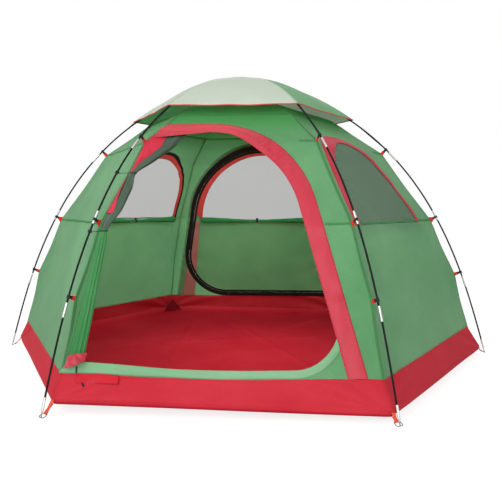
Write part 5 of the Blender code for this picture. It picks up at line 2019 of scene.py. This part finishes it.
def band_strip(
    shop: Workshop, finish: Finish, node: str, edges: tuple[Array, Array], side: Side, slack: float
) -> None:
    """Sew a band on a wall, drawn up in small puckers along both edges.

    Slack cloth adds long folds over the top, as bells whose middles drift across the band, short
    waves across it at the bend, and slow waves up the side.

    Args:
        shop: The workshop.
        finish: Its finish.
        node: Node that it stands for.
        edges: Its outer and its inner edge.
        side: Which wall.
        slack: Height of the folds.
    """
    grid, flat = strip_between(*edges, 900, 15)
    along, across = flat[..., 0], flat[..., 1]
    width = across.max(axis=1, keepdims=True)
    share = across / width
    edge = np.minimum(across, width - across)
    pucker = np.sin(along * 380 + 2 * np.sin(along * 37)) * (0.6 + 0.4 * np.sin(along * 53))
    stand = 0.0009 + 0.0011 * (1 + pucker) * np.exp(-edge / 0.010) + 0.0016 * np.sin(math.pi * share)
    top = eased(along, (1.02, 1.30, 1.75, 2.05), (0, 1, 1, 0.3))
    for middle, drift in ((0.30, 0.35), (0.62, -0.30), (0.80, 0.10)):
        stand = stand + slack * top * np.exp(-(((share - middle - drift * (along - 1.45)) / 0.085) ** 2))
    bend = eased(along, (0.80, 1.02, 1.18, 1.42), (0, 1, 1, 0))
    short = np.sin(along * 150 + 5 * share + 2 * np.sin(9 * along)) * np.sin(along * 61 - 3 * share)
    slow = np.sin(along * 19 + 4 * share) * np.sin(along * 7.3)
    stand = stand + slack * np.sin(math.pi * share) * (0.45 * bend * (1 + short) + 0.35 * (1 + slow))
    surface = WALL.laid(grid, flat, stand, side)
    band = shop.piece(f"{node}_cloth", ("tent", "red_band", node), [surface], finish, thickness=TAPE)


def zip_strip(
    shop: Workshop, name: str, edges: list[Array], side: Side, lift: float, body: str, *nodes: str
) -> None:
    """Lay a zip tape along an edge, with its row of coils standing proud in the middle.

    Args:
        shop: The workshop.
        name: Name of the piece, before its ending.
        edges: Its two edges.
        side: Which wall.
        lift: How far it lies over the wall's face.
        body: Body that it moves with.
        nodes: Nodes that it stands for.
    """
    grid, flat = strip_between(*edges, 620, 9)
    share = np.linspace(0, 1, 9)[None, :]
    coil = np.exp(-(((share - 0.5) / 0.2) ** 2)) * (0.8 + 0.2 * np.sin(flat[..., 0] * 900))
    away = 0.0012 if lift > -0.0015 else -0.0012
    surface = WALL.laid(grid, flat, lift + away * coil, side)
    tape = shop.piece(f"{name}_tape", (body, "clip_plastic", *nodes), [surface], ZIP_BLACK, thickness=TAPE)


@dataclass
class RearDoor:
    """The shut rear door: leaf with a net window, zip round three sides, band outside.

    Attributes:
        gap: Gap between the zip and the leaf.
        tape: Width of the tape on the leaf.
        wall_tape: How far the wall's tape reaches outside the doorway.
        guard: Place across of the inner strip's two edges, at its foot and at the net's.
        lap: How far the net reaches outside its window.
    """

    shop: Workshop
    zip_width: float = 0.010
    gap: float = 0.0006
    hinge_gap: float = 0.0005
    band_outside: float = 0.040
    band_inside: float = 0.009
    tape: float = 0.018
    wall_tape: float = 0.024
    zip_lift: float = -0.0030
    guard: tuple[Pair, Pair] = ((0.622, 0.484), (0.515, 0.432))
    net_foot: float = 0.838
    net_margin: float = 0.070
    net_hinge_margin: float = 0.080
    net_top_margin: float = 0.040
    net_arch: float = 0.530
    net_corner: float = 0.020
    lap: float = 0.012

    def net_corners(self) -> Outline:
        """Corners of the net window, from the foot of its hinge side round.

        Returns:
            Corners with their radii.
        """
        door = DOORS[Side.BACK]
        top = door.top - self.net_top_margin
        low, high = (float(door.zip_edge(level)) - self.net_margin for level in (self.net_foot, top))
        foot_hinge, top_hinge = (
            float(WALL.hinge_edge(level)) + self.net_hinge_margin for level in (self.net_foot, top)
        )
        return [
            (foot_hinge, self.net_foot, self.net_corner),
            (low, self.net_foot, self.net_corner),
            (high, top, self.net_arch),
            (top_hinge, top, self.net_corner),
        ]

    def leaf_arcs(self, inset: float) -> list[Array]:
        """Outline of the leaf, its free edges moved in by an inset."""
        corners = WALL.door_corners(Side.BACK)
        return round_corners(corners, [inset] * 3 + [self.hinge_gap] * (len(corners) - 3))

    def build(self) -> None:
        """Make the leaf, its window and roll, the zip, the trims inside and the band."""
        edge = ZIP_GAP + self.zip_width + self.gap
        corners = self.net_corners()
        leaf, window = (middle_split(arcs) for arcs in (self.leaf_arcs(edge), round_corners(corners)))
        grid = ring_between(window, leaf, DOOR_COUNTS, 40)
        surface = WALL.laid(grid, closed(grid), WALL_LIFT, Side.BACK, True)
        rides = ("rear_door", "green_cloth", "rear_door")
        # The leaf takes the darker green painted as shade
        door = self.shop.piece("rear_door_cloth", rides, [surface], REAR_SHADE_GREEN, thickness=CLOTH)
        area = surface.area()
        arcs = round_corners(corners, -self.lap)
        net_piece(self.shop, NET_GREY, "rear_door_net", arcs, Side.BACK, "rear_door")
        roll = FlapRoll(Side.BACK, corners[0][0], corners[1][0], self.net_foot)
        roll.build(self.shop, "rear_door_flap", "rear_door")
        self.zips(edge)
        self.trim(edge + self.tape - 0.001)
        self.guards(edge + self.tape - 0.001)
        edges = tuple(WALL.band_line(Side.BACK, inset) for inset in (-self.band_outside, self.band_inside))
        band_strip(self.shop, REAR_RED, "rear_door_band", edges, Side.BACK, 0.0010)

    def zips(self, edge: float) -> None:
        """Lay the zip's tapes: one on the wall, one on the leaf.

        Args:
            edge: How far the leaf's edge lies inside the opening.
        """
        edges = [WALL.door_line(Side.BACK, inset) for inset in (-self.wall_tape, ZIP_GAP + self.zip_width)]
        zip_strip(self.shop, "rear_zip", edges, Side.BACK, self.zip_lift, "tent", "rear_zip")
        edges = [np.vstack(self.leaf_arcs(inset)[:4]) for inset in (edge, edge + self.tape)]
        zip_strip(self.shop, "rear_door_zip", edges, Side.BACK, self.zip_lift, "rear_door")

    def trim(self, start: float) -> None:
        """Bind the net window inside with a red tape, from the zip's tape to the net's edge.

        Args:
            start: How far inside the opening the tape begins, under the tape of the zip.
        """
        outer = np.vstack(self.leaf_arcs(start)[1:4])
        outer = outer[outer[:, 1] > self.net_foot - 0.02]
        corners = [(x, z - 0.02 * (z < 1), 0.0 if z < 1 else radius) for x, z, radius in self.net_corners()]
        inner = np.vstack(round_corners(corners, [0.0, 0.005, 0.005, 0.005])[1:4])
        grid, flat = strip_between(outer, inner, 420, 8)
        surface = WALL.laid(grid, flat, -0.0042, Side.BACK)
        rides = ("rear_door", "red_band")
        trim = self.shop.piece("rear_door_net_trim", rides, [surface], INNER_RED, thickness=TAPE)
        length = float(flat[-1, 0, 0])
        surface.area() / length

    def guards(self, start: float) -> None:
        """Line the zip side inside with a strip: its upper part on the leaf, its foot on the wall.

        Each column of a part runs from the bend of the zip's tape, where the column's share of
        the strip's width meets it, to the part's level end.

        Args:
            start: How far inside the opening the upper part begins, under the tape of the zip.
        """
        foot = WALL.tray_top[1]
        levels = (foot, self.net_foot)
        share = np.linspace(0, 1, 14)[:, None]
        leaf = self.leaf_arcs(start)[1]
        wall = round_corners(WALL.door_corners(Side.BACK), -0.023)[1]
        parts = (
            ("rear_door", leaf, self.net_foot - 0.014, "rear_door_cloth"),
            ("tent", wall, foot + 0.004, "back_panel_cloth"),
        )
        for body, bend, end, rests in parts:
            near, far = (np.interp(bend[:, 1], levels, line) for line in self.guard)
            place = (near - bend[:, 0]) / (near - far)
            order = np.argsort(place)
            cut = np.interp(share, place[order], bend[order, 1])
            height = cut + (end - cut) * np.linspace(0, 1, 40)[None, :]
            near, far = (np.interp(height, levels, line) for line in self.guard)
            surface = Surface(WALL.points(near + (far - near) * share, height, -0.0024, Side.BACK))
            rides = (body, "red_band")
            strip = self.shop.piece(f"rear_guard_{body}", rides, [surface], GUARD_BROWN, thickness=FINE_TAPE)


# Studio


@dataclass(frozen=True)
class Lamp:
    """A square soft lamp, hung at a spot and looking at another; its side, and its power in watts."""

    name: str
    spot: Spot
    aim: Spot
    size: float
    power: float

    def hang(self) -> None:
        """Put the lamp into the scene, unseen by the camera."""
        data = bpy.data.lights.new(self.name, "AREA")
        data.size = self.size
        data.energy = self.power
        lamp = placed(self.name, data)
        lamp.location = self.spot
        lamp.visible_camera = False
        back = unit(np.array(self.spot) - np.array(self.aim))
        lamp.rotation_euler = (math.acos(back[2]), 0.0, math.atan2(back[0], -back[1]))


@dataclass(frozen=True)
class Studio:
    """Floor, light and camera; the camera is turned to the left and tilted upwards, in degrees.

    Attributes:
        ground: Height and half the side of the floor.
        glow: Strength of the floor's own light, where it is seen.
        glow_share: Share of that light in the floor's looks.
    """

    camera_spot: Spot = (0.311, -3.822, 0.922)
    yaw: float = 3.79
    pitch: float = -4.04
    lens: float = 42.37
    sensor: float = 36.0
    sky: float = 0.58
    ground: Pair = (-0.0015, 40.0)
    glow: float = 1.34
    glow_share: float = 0.6
    white: tuple[float, ...] = (1.0, 1.0, 1.0, 1.0)
    pale: tuple[float, ...] = (0.86, 0.86, 0.86, 1.0)
    lamps: tuple[Lamp, ...] = (
        Lamp("key", (-3.2, -4.6, 4.2), (0, 0, 0.7), 3.5, 130.0),
        Lamp("front", (0.4, -6.5, 2.0), (0, 0, 0.8), 3.0, 120.0),
        Lamp("back", (0.5, 5.0, 3.4), (0, 0, 0.7), 4.0, 60.0),
        Lamp("inside", (0.0, 0.0, 1.38), (0, 0, 0.0), 0.8, 14.0),
    )

    def world(self) -> None:
        """Light softly from all round, and show white where nothing is."""
        world = bpy.data.worlds.new("studio")
        world.use_nodes = True
        bpy.context.scene.world = world
        kit = NodeKit(world.node_tree)
        light = kit.fill(kit.tree.nodes["Background"], Color=self.white, Strength=self.sky)
        plain = kit.add("Background", Color=self.white, Strength=1.0)
        kit.blend(self.seen(kit), light, plain, "World Output")

    def seen(self, kit: NodeKit) -> Socket:
        """Share that is one for rays from the camera, from gloss and through glass.

        Args:
            kit: Kit of a tree.

        Returns:
            The share's socket.
        """
        path = kit.add("LightPath")
        gloss = kit.math("MAXIMUM", path.outputs["Is Glossy Ray"], path.outputs["Is Transmission Ray"])
        return kit.math("MAXIMUM", path.outputs["Is Camera Ray"], gloss)

    def floor(self) -> None:
        """Lay a white floor that keeps a pale shadow."""
        level, size = self.ground
        mesh = bpy.data.meshes.new("studio_floor")
        corners = [(x * size, y * size, level) for x, y in ((-1, -1), (1, -1), (1, 1), (-1, 1))]
        mesh.from_pydata(corners, [], [(0, 1, 2, 3)])
        floor = placed("studio_floor", mesh)
        material = bpy.data.materials.new("studio_floor")
        material.use_nodes = True
        kit = NodeKit(material.node_tree)
        shader = kit.tree.nodes["Principled BSDF"]
        kit.fill(shader, Base_Color=self.pale, Roughness=0.9, Specular_IOR_Level=0.0)
        glow = kit.add("Emission", Color=self.white, Strength=self.glow)
        kit.blend(kit.math("MULTIPLY", self.seen(kit), self.glow_share), shader, glow, "Material Output")
        mesh.materials.append(material)

    def build(self) -> None:
        """Set the scene up."""
        self.world()
        self.floor()
        for lamp in self.lamps:
            lamp.hang()
        data = bpy.data.cameras.new("camera")
        data.lens = self.lens
        data.sensor_width = self.sensor
        camera = placed("camera", data)
        camera.location = self.camera_spot
        camera.rotation_euler = (math.radians(90 + self.pitch), 0.0, math.radians(self.yaw))
        bpy.context.scene.camera = camera
        bpy.context.scene.view_settings.view_transform = "Standard"


def dress_nodes(shop: Workshop) -> None:
    """Give the nodes that stay their finishes.

    Args:
        shop: The workshop.
    """
    finishes = {f"foot_pin_{leg}": PIN_GREY for leg in LEGS}
    for name in ("front_slider", "front_slider_puller", "rear_slider", "rear_slider_puller"):
        finishes[name] = PULL_BLACK
    for name, finish in finishes.items():
        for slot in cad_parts[name].material_slots:
            slot.material = shop.material(finish)
        LOG.info("%s keeps its node", name)


def main() -> None:
    """Build the tent's sub-assemblies in order, and the studio round them."""
    logging.basicConfig(level=logging.INFO, format="%(name)s: %(message)s")
    shop = Workshop()
    poles = Poles(shop)
    Studio().build()
    Roof(shop, poles).build()
    poles.build()
    Clips(shop, poles).build()
    Tub(shop).build()
    Canopy(shop).build()
    for side in (Side.FRONT_RIGHT, Side.BACK_LEFT):
        Window(shop, side).build()
    FrontDoor(shop, poles).build()
    RearDoor(shop).build()
    dress_nodes(shop)


if __name__ == "__main__":
    main()
